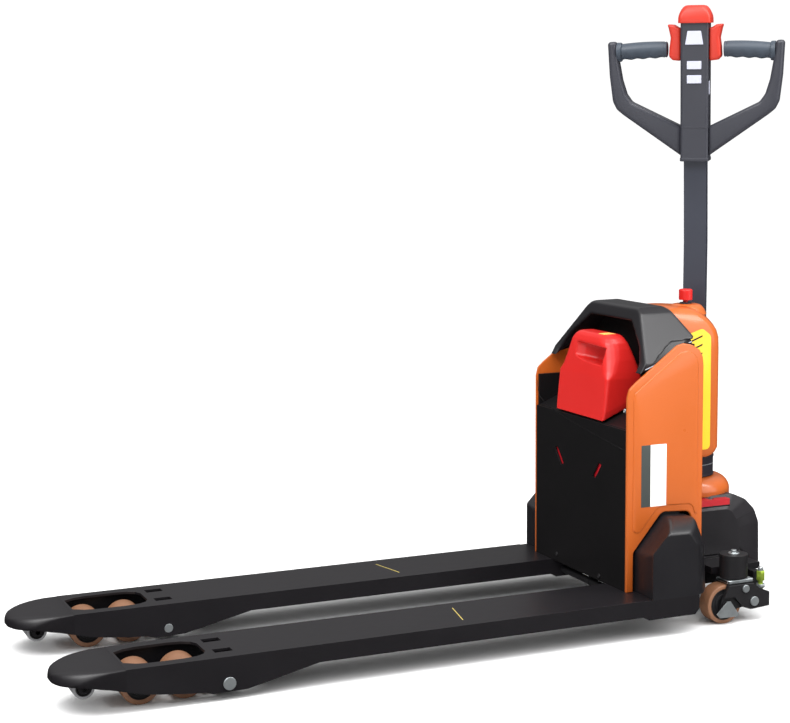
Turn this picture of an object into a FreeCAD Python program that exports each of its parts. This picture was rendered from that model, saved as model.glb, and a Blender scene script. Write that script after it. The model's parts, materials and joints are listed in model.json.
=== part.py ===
import FreeCAD, Part
import math
import os
import Sketcher
from FreeCAD import Placement, Rotation, Vector

# Electric pallet truck, millimetres. +X runs from the fork tips to the operator, +Y to the right of the
# truck as the operator sees it when facing the forks, and +Z up. The origin is on the floor under the middle
# of the truck's box. The truck stands lowered, with the tiller upright and steered to one side.

os.makedirs("parts", exist_ok=True)
doc = FreeCAD.newDocument("pallet_truck")
sheet = doc.addObject("Spreadsheet::Sheet", "dims")


class Dim:
    """A length that keeps both its value and the sheet expression it comes from."""

    def __init__(self, value, text=None):
        self.value = float(value)
        self.text = text or "(%.6g)" % self.value

    def joined(self, other, sign, value):
        return Dim(value, "(%s %s %s)" % (self.text, sign, dim(other).text))

    def __add__(self, other):
        return self.joined(other, "+", self.value + dim(other).value)

    def __sub__(self, other):
        return self.joined(other, "-", self.value - dim(other).value)

    def __mul__(self, other):
        return self.joined(other, "*", self.value * dim(other).value)

    def __truediv__(self, other):
        return self.joined(other, "/", self.value / dim(other).value)

    def __radd__(self, other):
        return dim(other) + self

    def __rsub__(self, other):
        return dim(other) - self

    def __rmul__(self, other):
        return dim(other) * self

    def __neg__(self):
        return dim(0) - self


def dim(number):
    return number if isinstance(number, Dim) else Dim(number)


def driving(alias, value):
    """Store one driving dimension in the sheet and return it."""
    driving.row += 1
    cell = "A%d" % driving.row
    sheet.set(cell, str(value))
    sheet.setAlias(cell, alias)
    return Dim(value, "dims." + alias)


driving.row = 0

FACE = driving("face_x", 341.6)                  # front face of the body, behind the forks
FORK_LENGTH = driving("fork_length", 1180)
FORK_WIDTH = driving("fork_width", 160)
FORK_SPREAD = driving("fork_spread", 560)        # over both forks
FORK_TOP = driving("fork_top", 82)               # lowered height
SKIN = driving("fork_plate", 5)
AXIS_SETBACK = driving("axis_setback", 268)      # steering axis behind the front face
STEER = driving("steer_angle", 50)
LOAD_RADIUS = driving("load_wheel_radius", 36)
LOAD_SPACING = driving("load_wheel_spacing", 84)
ENTRY_RADIUS = driving("entry_roller_radius", 20)
CASTOR_RADIUS = driving("castor_radius", 41)
DRIVE_RADIUS = driving("drive_wheel_radius", 105)
DRIVE_WIDTH = driving("drive_wheel_width", 70)
LIFT = driving("lift_height", 105)
BODY_HALF = driving("body_half_width", 205)
COLUMN_HALF = driving("column_half_width", 90)
HOOD_HALF = driving("hood_half_width", 125)
WALL = driving("cover_wall", 4)
PLAY = driving("running_play", 0.05)             # radial, between a shaft and its bore
TILLER_TOP = driving("tiller_top", 1308)
HANDLE_HALF = driving("handle_half_width", 196)

TIP = FACE - FORK_LENGTH
AXIS = FACE + AXIS_SETBACK
FORK_CENTRE = (FORK_SPREAD - FORK_WIDTH) / 2
BEND = Vector(141, 0, 780)    # bend in the tiller's tube, from the steering axis
LEAN = Placement(Vector(), Rotation(Vector(0, 1, 0), -3.8), BEND)
ALONG_X = Rotation(Vector(0, 1, 0), 90)
ALONG_Y = Rotation(Vector(1, 0, 0), -90)
ALONG_Z = Rotation()
LEFT, RIGHT = -1, 1
SIDES = (("left", LEFT), ("right", RIGHT))
nodes = []


# ---------------------------------------------------------------- building blocks

def bind(obj, **lengths):
    for name, length in lengths.items():
        obj.setExpression(name.replace("_at_", "."), dim(length).text)
    return obj


def place(obj, x=0, y=0, z=0, turn=ALONG_Z):
    obj.Placement = Placement(Vector(dim(x).value, dim(y).value, dim(z).value), turn)
    for axis, length in (("x", x), ("y", y), ("z", z)):
        if isinstance(length, Dim):
            obj.setExpression("Placement.Base." + axis, length.text)
    return obj


def block(x, y, z):
    """A box between the two ends given for each axis."""
    obj = doc.addObject("Part::Box", "block")
    bind(obj, Length=dim(x[1]) - x[0], Width=dim(y[1]) - y[0], Height=dim(z[1]) - z[0])
    return place(obj, x[0], y[0], z[0])


def bar(radius, ends, turn, x=0, y=0, z=0):
    """A cylinder between two ends along the axis that turn selects."""
    obj = doc.addObject("Part::Cylinder", "bar")
    bind(obj, Radius=radius, Height=dim(ends[1]) - ends[0])
    if turn is ALONG_X:
        x = dim(x) + ends[0]
    elif turn is ALONG_Y:
        y = dim(y) + ends[0]
    else:
        z = dim(z) + ends[0]
    return place(obj, x, y, z, turn)


def prism(plane, outlines, ends):
    """A pad of one or more closed outlines: XZ pads run along Y, YZ pads along X and XY pads along Z."""
    body = doc.addObject("PartDesign::Body", "prism")
    sketch = body.newObject("Sketcher::SketchObject", "outline")
    flat = [o for o in body.Origin.OriginFeatures if o.Role == plane + "_Plane"][0]
    sketch.AttachmentSupport = [(flat, "")]
    sketch.MapMode = "FlatFace"
    for outline in outlines:
        first = sketch.GeometryCount
        corners = [Vector(dim(a).value, dim(b).value, 0) for a, b in outline]
        for i, corner in enumerate(corners):
            sketch.addGeometry(Part.LineSegment(corner, corners[(i + 1) % len(corners)]), False)
        for i in range(len(corners)):
            following = first + (i + 1) % len(corners)
            sketch.addConstraint(Sketcher.Constraint("Coincident", first + i, 2, following, 1))
        for i, (a, b) in enumerate(outline):
            for kind, length in (("DistanceX", dim(a)), ("DistanceY", dim(b))):
                index = sketch.addConstraint(
                    Sketcher.Constraint(kind, -1, 1, first + i, 1, length.value))
                sketch.setExpression("Constraints[%d]" % index, length.text)
    pad = body.newObject("PartDesign::Pad", "pad")
    pad.Profile = sketch
    bind(pad, Length=dim(ends[1]) - ends[0])
    if plane == "XZ":
        return place(body, y=ends[1])
    if plane == "YZ":
        return place(body, x=ends[0])
    return place(body, z=ends[0])


def cut(base, *tools):
    for tool in tools:
        result = doc.addObject("Part::Cut", "cut")
        result.Base = base
        result.Tool = tool
        base = result
    return base


def fuse(*shapes):
    result = doc.addObject("Part::MultiFuse", "fuse")
    result.Shapes = list(shapes)
    return result


def common(*shapes):
    result = doc.addObject("Part::MultiCommon", "common")
    result.Shapes = list(shapes)
    return result


def group(*shapes):
    """Separate solids that share one node."""
    result = doc.addObject("Part::Compound", "group")
    result.Links = list(shapes)
    return result


def rounded(obj, radius, chosen):
    """Fillet the edges that the test picks."""
    doc.recompute()
    picked = [i + 1 for i, edge in enumerate(obj.Shape.Edges) if chosen(edge)]
    result = doc.addObject("Part::Fillet", "rounded")
    result.Base = obj
    result.Edges = [(i, radius, radius) for i in picked]
    return result


def runs_along(edge, axis):
    """True for a straight edge parallel to the axis, given as a vector."""
    if not isinstance(edge.Curve, (Part.Line, Part.LineSegment)):
        return False
    return abs(edge.tangentAt(edge.FirstParameter).dot(axis)) > 0.999


def node(name, obj, steered=False, leaning=False):
    """Name a finished sub-part. Steered pieces are drawn about the steering axis, heading straight, and
    leaning ones upright, before the tiller's upper part is tilted at its bend."""
    if leaning:
        obj = group(obj)
        obj.Placement = LEAN
    if steered:
        obj = group(obj)
        obj.Placement = Placement(Vector(AXIS.value, 0, 0), Rotation(Vector(0, 0, 1), STEER.value))
        obj.setExpression("Placement.Base.x", AXIS.text)
        obj.setExpression("Placement.Rotation.Angle", STEER.text)
    obj.Label = name
    nodes.append(obj)
    return obj


def mirrored(points, side):
    return [(dim(y) * side, z) for y, z in points]


def span(side, near, far):
    """Two distances from the middle plane, as low and high ends on one side of the truck."""
    low, high = sorted((dim(near) * side, dim(far) * side), key=lambda length: length.value)
    return low, high


def shifted(points, x):
    return [(x + dx, z) for dx, z in points]


def inset(points, distance):
    """The polygon moved inwards by one distance on every side, corners kept sharp."""
    plain = [Vector(dim(a).value, dim(b).value, 0) for a, b in points]
    area = sum(p.x * q.y - q.x * p.y for p, q in zip(plain, plain[1:] + plain[:1]))
    turn = 1 if area > 0 else -1
    result = []
    for i, point in enumerate(plain):
        before = (point - plain[i - 1]).normalize()
        after = (plain[(i + 1) % len(plain)] - point).normalize()
        inward_before = Vector(-before.y, before.x, 0) * turn
        inward_after = Vector(-after.y, after.x, 0) * turn
        sum_of_both = inward_before + inward_after
        move = sum_of_both * (dim(distance).value / (1 + inward_before.dot(inward_after)))
        result.append((points[i][0] + move.x, points[i][1] + move.y))
    return result


def loft_across(sections):
    """A ruled solid through outlines in XZ, each given with its Y."""
    wires = []
    for y, outline in sections:
        corners = [Vector(dim(x).value, y, dim(z).value) for x, z in outline]
        wires.append(Part.makePolygon(corners + corners[:1]))
    return Part.makeLoft(wires, True, True)


def shaped(shape, x=0):
    """A feature that holds a shape made with Part's own functions."""
    obj = doc.addObject("Part::Feature", "shaped")
    obj.Shape = shape
    obj.Placement = Placement(Vector(x, 0, 0), ALONG_Z)
    return obj


# ---------------------------------------------------------------- forks

PIVOT = TIP + 307             # load arm's pivot bolt
PIVOT_Z = 32
BOGIE = PIVOT - 109           # middle of the two load wheels
ROCKER = FACE + 30            # rocker shaft under the body
ROCKER_Z = 56
LEVER = 24                    # lever of the push rods, at both ends
SWING = 34.95                 # half the levers' swing, degrees
LEVER_RUN = LEVER * math.sin(math.radians(SWING))
LEVER_RISE = LEVER * math.cos(math.radians(SWING))
ENTRY = TIP + 55              # entry roller
ENTRY_Z = 43
FORK_BACK = FORK_LENGTH + 130
PIN_RADIUS = 9
ROCKER_RADIUS = 8
SHELF = FORK_TOP - 1          # the forks' top where the body stands on it


def fork(side):
    half = FORK_WIDTH / 2
    middle = FORK_CENTRE * side
    top = FORK_TOP
    side_view = shifted([(0, 57), (0, 68), (6, 74), (16, 78.5), (34, 81.3), (50, top),
                         (FORK_LENGTH - 0.5, top), (FORK_LENGTH - 0.5, SHELF), (FORK_BACK, SHELF),
                         (FORK_BACK, 52), (FORK_BACK - 10, 41), (FORK_LENGTH + 10, 41),
                         (FORK_LENGTH - 4, 48), (481, 48), (384, 26), (341, 17), (279, 16), (261, 21),
                         (233, 23), (187, 28), (150, 33), (95, 48), (72, 52), (45, 57)], TIP)
    nose = [(0, 14), (3, 28), (10, 44), (22, 58), (40, 70), (65, 77), (90, half)]
    plan = nose + [(FORK_BACK, half)]
    plan = plan + [(x, -dim(y)) for x, y in reversed(plan)]
    hollow = [(30, 40), (44, 60), (66, 71), (92, half - SKIN), (FORK_BACK + 9, half - SKIN)]
    hollow = hollow + [(x, -dim(y)) for x, y in reversed(hollow)]
    outside = common(prism("XZ", [side_view], (middle - half, middle + half)),
                     prism("XY", [[(TIP + x, middle + y) for x, y in plan]], (0, top + 1)))
    inside = prism("XY", [[(TIP + x, middle + y) for x, y in hollow]], (-5, top - SKIN))
    rim = [(124, 36), (145, 50), (168, 55), (228, 56), (255, 52), (271, 42), (278, 26)]
    rim = rim + [(x, -y) for x, y in reversed(rim)]
    window = prism("XY", [[(TIP + x, middle + y) for x, y in rim]], (top - 20, top + 9))
    slots = [block((TIP + 291, TIP + 325), (middle + y - 11, middle + y + 11), (top - 20, top + 9))
             for y in (-35, 37)]
    bolt_holes = bar(PIN_RADIUS, (middle - half - 1, middle + half + 1), ALONG_Y, x=PIVOT, z=PIVOT_Z)
    inner_wall = span(side, FORK_SPREAD / 2 - FORK_WIDTH - 1, FORK_SPREAD / 2 - FORK_WIDTH + SKIN + 1)
    rocker_bore = bar(ROCKER_RADIUS + PLAY, inner_wall, ALONG_Y, x=ROCKER, z=ROCKER_Z)
    lugs = [cut(block((ENTRY - 12, ENTRY + 12), (middle + y - 2.5, middle + y + 2.5), (36, top - SKIN)),
                bar(5, (middle + y - 4, middle + y + 4), ALONG_Y, x=ENTRY, z=ENTRY_Z))
            for y in (-36, 36)]
    channel = cut(outside, inside, window, *slots, bolt_holes, rocker_bore)
    return fuse(channel, *lugs)


for side_name, side in SIDES:
    node("fork_" + side_name, fork(side))


def fork_pins(side):
    """Headed bolt of the load arm and plain axle of the entry roller."""
    middle = FORK_CENTRE * side
    head = span(side, FORK_CENTRE + 80, FORK_CENTRE + 83)
    bolt = fuse(bar(PIN_RADIUS, (middle - 80, middle + 80), ALONG_Y, x=PIVOT, z=PIVOT_Z),
                bar(12, head, ALONG_Y, x=PIVOT, z=PIVOT_Z))
    return [bolt, bar(5, (middle - 38.5, middle + 38.5), ALONG_Y, x=ENTRY, z=ENTRY_Z)]


node("fork_pins", group(*fork_pins(LEFT), *fork_pins(RIGHT)))


# ---------------------------------------------------------------- load wheels and their linkage

WHEEL_HALF = 34
BOGIE_CHEEK = 38.5
ARM_CHEEK = 46
AXLE_RADIUS = 8


def ring(radius, bore, half, x, y, z):
    """A wheel about the Y direction, centred on y."""
    return cut(bar(radius, (y - half, y + half), ALONG_Y, x=x, z=z),
               bar(bore, (y - half - 1, y + half + 1), ALONG_Y, x=x, z=z))


def tyred_wheel(radius, tread, bore, half, x, y, z):
    """Tyre and hub as two solids that meet face to face."""
    return group(ring(radius, radius - tread, half, x, y, z), ring(radius - tread, bore, half, x, y, z))


def link(x, z, thickness, width):
    """A flat link with round ends through two or more points in XZ, between two Y values."""
    pieces = [bar(width / 2, thickness, ALONG_Y, x=a, z=b) for a, b in zip(x, z)]
    for i in range(len(x) - 1):
        run = dim(x[i + 1]).value - dim(x[i]).value
        rise = dim(z[i + 1]).value - dim(z[i]).value
        reach = math.hypot(run, rise)
        across = (-rise / reach * width / 2, run / reach * width / 2)
        corners = [(x[i] + across[0], z[i] + across[1]), (x[i + 1] + across[0], z[i + 1] + across[1]),
                   (x[i + 1] - across[0], z[i + 1] - across[1]), (x[i] - across[0], z[i] - across[1])]
        pieces.append(prism("XZ", [corners], thickness))
    return fuse(*pieces)


def load_arm(side):
    middle = FORK_CENTRE * side
    cheeks = [link([PIVOT, BOGIE], [dim(PIVOT_Z), LOAD_RADIUS], (middle + y - 3, middle + y + 3), 28)
              for y in (-ARM_CHEEK, ARM_CHEEK)]
    hubs = [bar(16, span(side, FORK_CENTRE + a, FORK_CENTRE + b), ALONG_Y, x=PIVOT, z=PIVOT_Z)
            for a, b in ((-ARM_CHEEK, -6), (4, ARM_CHEEK))]
    web = block((PIVOT - 24, PIVOT - 6), (middle - ARM_CHEEK, middle + ARM_CHEEK),
                (PIVOT_Z - 14, PIVOT_Z - 8))
    lever = link([PIVOT, PIVOT + LEVER_RUN], [dim(PIVOT_Z), dim(PIVOT_Z + LEVER_RISE)],
                 span(side, FORK_CENTRE - 14, FORK_CENTRE - 6), 12)
    bores = [bar(radius + PLAY, (middle - 55, middle + 55), ALONG_Y, x=x, z=z)
             for radius, x, z in ((PIN_RADIUS, PIVOT, PIVOT_Z), (AXLE_RADIUS, BOGIE, LOAD_RADIUS))]
    return cut(fuse(*cheeks, *hubs, web, lever), *bores)


def load_bogie(side):
    middle = FORK_CENTRE * side
    front, rear = BOGIE - LOAD_SPACING / 2, BOGIE + LOAD_SPACING / 2
    cheeks = [link([front, rear], [LOAD_RADIUS, LOAD_RADIUS], (middle + y - 3, middle + y + 3), 28)
              for y in (-BOGIE_CHEEK, BOGIE_CHEEK)]
    axles = [bar(AXLE_RADIUS, (middle - BOGIE_CHEEK - 3, middle + BOGIE_CHEEK + 3), ALONG_Y, x=x,
                 z=LOAD_RADIUS) for x in (front, rear)]
    stubs = [bar(AXLE_RADIUS, span(side, FORK_CENTRE + a, FORK_CENTRE + b), ALONG_Y, x=BOGIE, z=LOAD_RADIUS)
             for a, b in ((-ARM_CHEEK - 3, -BOGIE_CHEEK), (BOGIE_CHEEK, ARM_CHEEK + 3))]
    return fuse(*cheeks, *axles, *stubs)


def push_rod(side):
    faces = span(side, FORK_CENTRE - 5, FORK_CENTRE + 3)
    rod = link([PIVOT + LEVER_RUN, ROCKER + LEVER_RUN],
               [dim(PIVOT_Z + LEVER_RISE), dim(ROCKER_Z - LEVER_RISE)], faces, 10)
    return cut(rod, bar(4 + PLAY, span(side, FORK_CENTRE - 9, FORK_CENTRE + 9), ALONG_Y,
                        x=ROCKER + LEVER_RUN, z=ROCKER_Z - LEVER_RISE))


DRIVE_LEVER = LIFT / (2 * math.sin(math.radians(SWING)))
DRIVE_PIN_X = ROCKER + DRIVE_LEVER * math.cos(math.radians(SWING))
DRIVE_PIN_Z = ROCKER_Z + LIFT / 2


def rocker():
    reach = FORK_CENTRE - 6
    shaft = bar(ROCKER_RADIUS, (-reach, reach), ALONG_Y, x=ROCKER, z=ROCKER_Z)
    pieces = [shaft, link([ROCKER, DRIVE_PIN_X], [dim(ROCKER_Z), DRIVE_PIN_Z], (dim(-6), dim(6)), 18)]
    for side in (LEFT, RIGHT):
        pieces.append(link([ROCKER, ROCKER + LEVER_RUN], [dim(ROCKER_Z), dim(ROCKER_Z - LEVER_RISE)],
                           span(side, FORK_CENTRE - 12, FORK_CENTRE - 6), 12))
        pieces.append(bar(4, span(side, FORK_CENTRE - 7, FORK_CENTRE + 4), ALONG_Y,
                          x=ROCKER + LEVER_RUN, z=ROCKER_Z - LEVER_RISE))
    return fuse(*pieces)


for side_name, side in SIDES:
    middle = FORK_CENTRE * side
    node("entry_roller_" + side_name, ring(ENTRY_RADIUS, 5 + PLAY, 30, ENTRY, middle, ENTRY_Z))
    node("load_arm_" + side_name, load_arm(side))
    node("load_bogie_" + side_name, load_bogie(side))
    for place_name, x in (("front", BOGIE - LOAD_SPACING / 2), ("rear", BOGIE + LOAD_SPACING / 2)):
        node("load_wheel_%s_%s" % (side_name, place_name),
             tyred_wheel(LOAD_RADIUS, 9, AXLE_RADIUS + PLAY, WHEEL_HALF, x, middle, LOAD_RADIUS))
    node("push_rod_" + side_name, push_rod(side))
node("rocker_shaft", rocker())


# ---------------------------------------------------------------- body

INNER = BODY_HALF - 7         # inside of the side panels
BODY_BOTTOM = SHELF

slots = [[(70, 306), (98, 339), (110, 335), (83, 302)], [(-71, 298), (-97, 330), (-84, 333), (-59, 300)]]
plate_outline = [(-INNER, BODY_BOTTOM), (INNER, BODY_BOTTOM), (INNER, 418), (-INNER, 418)]
node("front_plate", prism("YZ", [plate_outline] + slots, (FACE, FACE + 4)))

liners = [block((FACE + 4, FACE + 131), span(side, INNER - 6, INNER), (BODY_BOTTOM, 488))
          for side in (LEFT, RIGHT)]
rear_wall = block((FACE + 125, FACE + 131), (6 - INNER, INNER - 6), (BODY_BOTTOM, 300))
deck = block((FACE + 4, FACE + 125), (6 - INNER, INNER - 6), (236, 241))
lever_slot = block((FACE + 120, FACE + 136), (-17, 17), (BODY_BOTTOM - 1, 128))
node("frame_box", cut(fuse(*liners, rear_wall, deck), lever_slot))

heel_face = shifted([(18, SHELF), (18, 176), (52, 211), (105, 210), (122, 187), (127, SHELF)], FACE)


def heel_root(foot):
    """Outline of a heel cover against the body, down to the given height."""
    return shifted([(22, foot), (22, 165), (86, 237), (147, 233), (170, 175), (174, foot)], FACE)


def side_panel(side):
    outline = shifted([(0, BODY_BOTTOM), (182, BODY_BOTTOM), (182, 556), (176, 572), (160, 584), (136, 591),
                       (122, 589), (73, 560), (14, 511), (3, 498), (0, 484)], FACE)
    opening = inset(heel_root(60), -6)
    faces = span(side, INNER, BODY_HALF)
    return cut(prism("XZ", [outline], faces), prism("XZ", [opening], span(side, INNER - 1, BODY_HALF + 1)))


def heel_cover(side):
    root = INNER.value * side
    skirt = (BODY_HALF.value + 1) * side
    face = FORK_SPREAD.value / 2 * side
    outlines = [(root, heel_root(SHELF)), (skirt, heel_root(SHELF)), (face, heel_face)]
    return shaped(loft_across(outlines).removeSplitter())


for side_name, side in SIDES:
    node("side_panel_" + side_name, side_panel(side))
    node("heel_cover_" + side_name, heel_cover(side))

TRAY_SLOPE = 0.424
tray = prism("XZ", [shifted([(4, 400), (4, 419.2), (118, 419.2 + 114 * TRAY_SLOPE),
                             (118, 400 + 114 * TRAY_SLOPE)], FACE)], (6 - INNER, INNER - 6))
node("battery_tray", tray)

arch_side = shifted([(33, 530), (46, 553), (84, 656), (92, 659), (148, 660), (160, 652), (190, 598),
                     (184, 593), (128, 590)], FACE)
arch_outer = [(-196, 520), (-196, 552), (-114, 647), (-95, 660), (95, 660), (114, 647), (196, 552),
              (196, 520)]
arch_inner = [(-173, 510), (-173, 545), (-150, 582), (-88, 630), (88, 630), (150, 582), (173, 545),
              (173, 510)]
node("top_cover", common(prism("XZ", [arch_side], (-200, 200)),
                         prism("YZ", [arch_outer + arch_inner[::-1]], (FACE, FACE + 195))))

pack_body = rounded(block((FACE + 22, FACE + 116), (-128, 128), (241, 384)), 12,
                    lambda edge: runs_along(edge, Vector(0, 0, 1)))
node("hydraulic_pack", pack_body)
node("controller_box", rounded(block((FACE + 12, FACE + 90), (60, 170), (160, 232)), 4,
                               lambda edge: runs_along(edge, Vector(0, 0, 1))))
node("rear_panels", group(*[block((FACE + 160, FACE + 164), span(side, COLUMN_HALF + 1, INNER - 0.5),
                                  (122, 589)) for side in (LEFT, RIGHT)]))

# Column over the lift cylinder: side, plan and end outlines meet in one solid.
COLUMN_BOTTOM = 324
COLUMN_TOP = 650
column_side = shifted([(173, COLUMN_BOTTOM), (173, 638), (190, COLUMN_TOP), (272, COLUMN_TOP),
                       (294, 636), (327, 598), (331, 580), (331, 349), (318, COLUMN_BOTTOM)], FACE)
column_plan = shifted([(173, -COLUMN_HALF), (296, -COLUMN_HALF), (312, -58), (329, -26), (329, 26),
                       (312, 58), (296, COLUMN_HALF), (173, COLUMN_HALF)], FACE)
column_end = [(-COLUMN_HALF, 300), (-COLUMN_HALF, 604), (-62, COLUMN_TOP), (62, COLUMN_TOP),
              (COLUMN_HALF, 604), (COLUMN_HALF, 300)]


def column_solid(side, plan, end, bottom):
    return common(prism("XZ", [side], (-COLUMN_HALF - 1, COLUMN_HALF + 1)),
                  prism("XY", [plan], (bottom, COLUMN_TOP + 5)),
                  prism("YZ", [end], (FACE + 160, FACE + 340)))


column_hollow = column_solid(inset(column_side, WALL), inset(column_plan, WALL), inset(column_end, WALL),
                             310)
column_mouth = block((FACE + 160, FACE + 230), (-COLUMN_HALF + WALL, COLUMN_HALF - WALL), (300, 604))
column_floor = block((FACE + 177, FACE + 314), (-COLUMN_HALF + WALL, COLUMN_HALF - WALL), (300, 332))
ESTOP_X = FACE + 265
estop_hole = bar(9.5, (COLUMN_TOP - 10, COLUMN_TOP + 5), ALONG_Z, x=ESTOP_X)
column = cut(column_solid(column_side, column_plan, column_end, COLUMN_BOTTOM), column_hollow,
             column_mouth, column_floor, estop_hole)
node("column_cover", column)

node("estop_collar", cut(fuse(bar(13, (COLUMN_TOP, COLUMN_TOP + 5), ALONG_Z, x=ESTOP_X),
                              bar(9.5, (COLUMN_TOP - 22, COLUMN_TOP), ALONG_Z, x=ESTOP_X)),
                         bar(5 + PLAY, (COLUMN_TOP - 18, COLUMN_TOP + 9), ALONG_Z, x=ESTOP_X)))
estop_cap = rounded(bar(15, (COLUMN_TOP + 10.5, COLUMN_TOP + 34), ALONG_Z, x=ESTOP_X), 4,
                    lambda edge: edge.BoundBox.ZMin > COLUMN_TOP + 33)
node("estop_button", fuse(estop_cap, bar(5, (COLUMN_TOP - 8, COLUMN_TOP + 14), ALONG_Z, x=ESTOP_X)))

# The lift bracket carries the chassis on top of the ram.
BRACKET_Z = 592
bracket_back = block((FACE + 131.2, FACE + 139), (-80, 80), (150, BRACKET_Z + 8))
bracket_arm = block((FACE + 139, FACE + 300), (-45, 45), (BRACKET_Z, BRACKET_Z + 8))
node("lift_bracket", fuse(bracket_back, bracket_arm))
RAM_RADIUS = 20
node("lift_ram", bar(RAM_RADIUS, (310, BRACKET_Z), ALONG_Z, x=AXIS))

# ---------------------------------------------------------------- battery

BATTERY_HALF = 106
battery_side = shifted([(-1, 423), (7, 511), (17, 583), (30, 600), (64, 600), (72, 590), (93, 514),
                        (106, 468.4)], FACE)
battery_front = [(BATTERY_HALF, 410), (BATTERY_HALF, 518), (98, 548), (83, 583), (57, 600)]
battery_front = battery_front + [(-y, z) for y, z in reversed(battery_front)]
battery = common(prism("XZ", [battery_side], (-BATTERY_HALF - 3, BATTERY_HALF + 3)),
                 prism("YZ", [battery_front], (FACE - 9, FACE + 120)))
grip_pocket = prism("XZ", [shifted([(-8, 538), (30, 530), (44, 572), (10, 580)], FACE)], (-45, 45))
node("battery_case", cut(battery, grip_pocket))


# ---------------------------------------------------------------- base: frame, hood and castors

def about_axis(points):
    return [(AXIS + dx, b) for dx, b in points]


FRAME_LOW, FRAME_HIGH = 96, 116
side_bars = [block((AXIS - 130, AXIS + 44), span(side, 114, 134), (FRAME_LOW, FRAME_HIGH))
             for side in (LEFT, RIGHT)]
skirts = [block((AXIS - 110, AXIS + 20), span(side, 127, 134), (58, FRAME_LOW)) for side in (LEFT, RIGHT)]
cross_bar = block((AXIS - 130, AXIS - 114), (-134, 134), (FRAME_LOW, FRAME_HIGH))
uprights = [block((AXIS - 40, AXIS + 40), span(side, 113.5, 119.5), (FRAME_HIGH, 222.5))
            for side in (LEFT, RIGHT)]
pin_cheeks = [link([DRIVE_PIN_X, AXIS - 120], [DRIVE_PIN_Z, DRIVE_PIN_Z], span(side, 8, 14), 18)
              for side in (LEFT, RIGHT)]
CASTOR_Y = 225
BLOCK_X = AXIS - 19
BLOCK_RADIUS = 30
carriers = [cut(block((AXIS - 60, AXIS + 62), span(side, 134, 204), (98, 112)),
                bar(BLOCK_RADIUS, (dim(90), dim(120)), ALONG_Z, x=BLOCK_X, y=CASTOR_Y * side))
            for side in (LEFT, RIGHT)]
node("base_frame", fuse(*side_bars, *skirts, cross_bar, *uprights, *pin_cheeks, *carriers))

SPINDLE = 24
flange_ears = block((AXIS - 40, AXIS + 40), (-119.5, 119.5), (222.5, 236))
flange = cut(fuse(bar(98, (222.5, 236), ALONG_Z, x=AXIS), flange_ears),
             bar(SPINDLE + PLAY, (200, 240), ALONG_Z, x=AXIS),
             *[bar(7, (200, 240), ALONG_Z, x=AXIS, y=106 * side) for side in (LEFT, RIGHT)])
node("slewing_flange", flange)

hood_outline = about_axis([(-68, 118), (-68, 224), (7, 240), (60, 241), (94, 226), (118, 202), (130, 172),
                           (132, 75), (74, 75), (66, 118)])
hood_cheek = about_axis([(-68, 118), (-68, 214), (-20, 214), (30, 214), (42, 208), (54, 190), (61, 172),
                         (64, 122), (62, 119), (59, 118)])


def hood_solid(outline, cheek, half, middle_half):
    return loft_across([(-half, cheek), (-middle_half, outline), (middle_half, outline), (half, cheek)])


hood_shell = hood_solid(hood_outline, hood_cheek, HOOD_HALF.value, 98).cut(
    hood_solid(inset(hood_outline, WALL), inset(hood_cheek, WALL), HOOD_HALF.value - WALL.value, 98))
hood_mouths = [block((AXIS - 80, AXIS + 45), (-121, 121), (219, 260)),
               block((AXIS - 42, AXIS + 42), (-121, 121), (200, 220)),
               block((AXIS + 60, AXIS + 80), (-121, 121), (70, 124)),
               bar(108, (200, 260), ALONG_Z, x=AXIS),
               block((AXIS - 80, AXIS - 60), (-121, 121), (100, 230)),
               block((AXIS - 70, AXIS + 63), (-121, 121), (110, 124)),
               block((AXIS + 60, AXIS + 125.8), (-98, 98), (60, 90))]
node("drive_hood", cut(shaped(hood_shell), *hood_mouths))


CASTOR_PIVOT = AXIS + 14      # hinge of the castor's arm, behind its wheel
CASTOR_PIVOT_Z = 44
CASTOR_X = AXIS - 52


def castor_bracket(side):
    """Spring block, side plates and the post that ties them to the base frame."""
    middle = dim(CASTOR_Y * side)
    spring_block = bar(BLOCK_RADIUS, (dim(94), dim(143)), ALONG_Z, x=BLOCK_X, y=middle)
    outline = about_axis([(-60, 57), (-48, 82), (14, 82), (28, 70), (53, 60), (53, 30), (6, 27), (-14, 34),
                          (-34, 57)])
    cheeks = [cut(prism("XZ", [outline], (middle + y - 2.5, middle + y + 2.5)),
                  bar(8, (middle - 40, middle + 40), ALONG_Y, x=CASTOR_PIVOT, z=CASTOR_PIVOT_Z))
              for y in (-27, 27)]
    post = block((AXIS + 34, AXIS + 52), span(side, 190, CASTOR_Y + 25), (44, 60))
    riser = block((AXIS + 34, AXIS + 52), span(side, 190, CASTOR_Y - 4), (60, 98))
    return group(spring_block, fuse(*cheeks, post, riser))


def castor_arm(side):
    """Swinging arm with its spring seat, axle and outer axle plates."""
    middle = dim(CASTOR_Y * side)
    outline = about_axis([(-66, 34), (-58, 26), (2, 34), (14, 33), (25, 44), (20, 56), (14, 86), (-47, 86),
                          (-62, 52)])
    plates = [prism("XZ", [outline], (middle + y - 1.6, middle + y + 1.6)) for y in (-21.2, 21.2)]
    seat = block((AXIS - 47, AXIS + 16), (middle - 22.8, middle + 22.8), (86, 90))
    axle = bar(7, (middle - 32, middle + 32), ALONG_Y, x=CASTOR_X, z=CASTOR_RADIUS)
    triangle = about_axis([(-80, 26), (-72, 17), (-27, 16), (-26, 22), (-46, 50), (-54, 50)])
    caps = [prism("XZ", [triangle], (middle + y - 1, middle + y + 1)) for y in (-31, 31)]
    return cut(fuse(*plates, seat, axle, *caps),
               bar(8 + PLAY, (middle - 40, middle + 40), ALONG_Y, x=CASTOR_PIVOT, z=CASTOR_PIVOT_Z))


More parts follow.
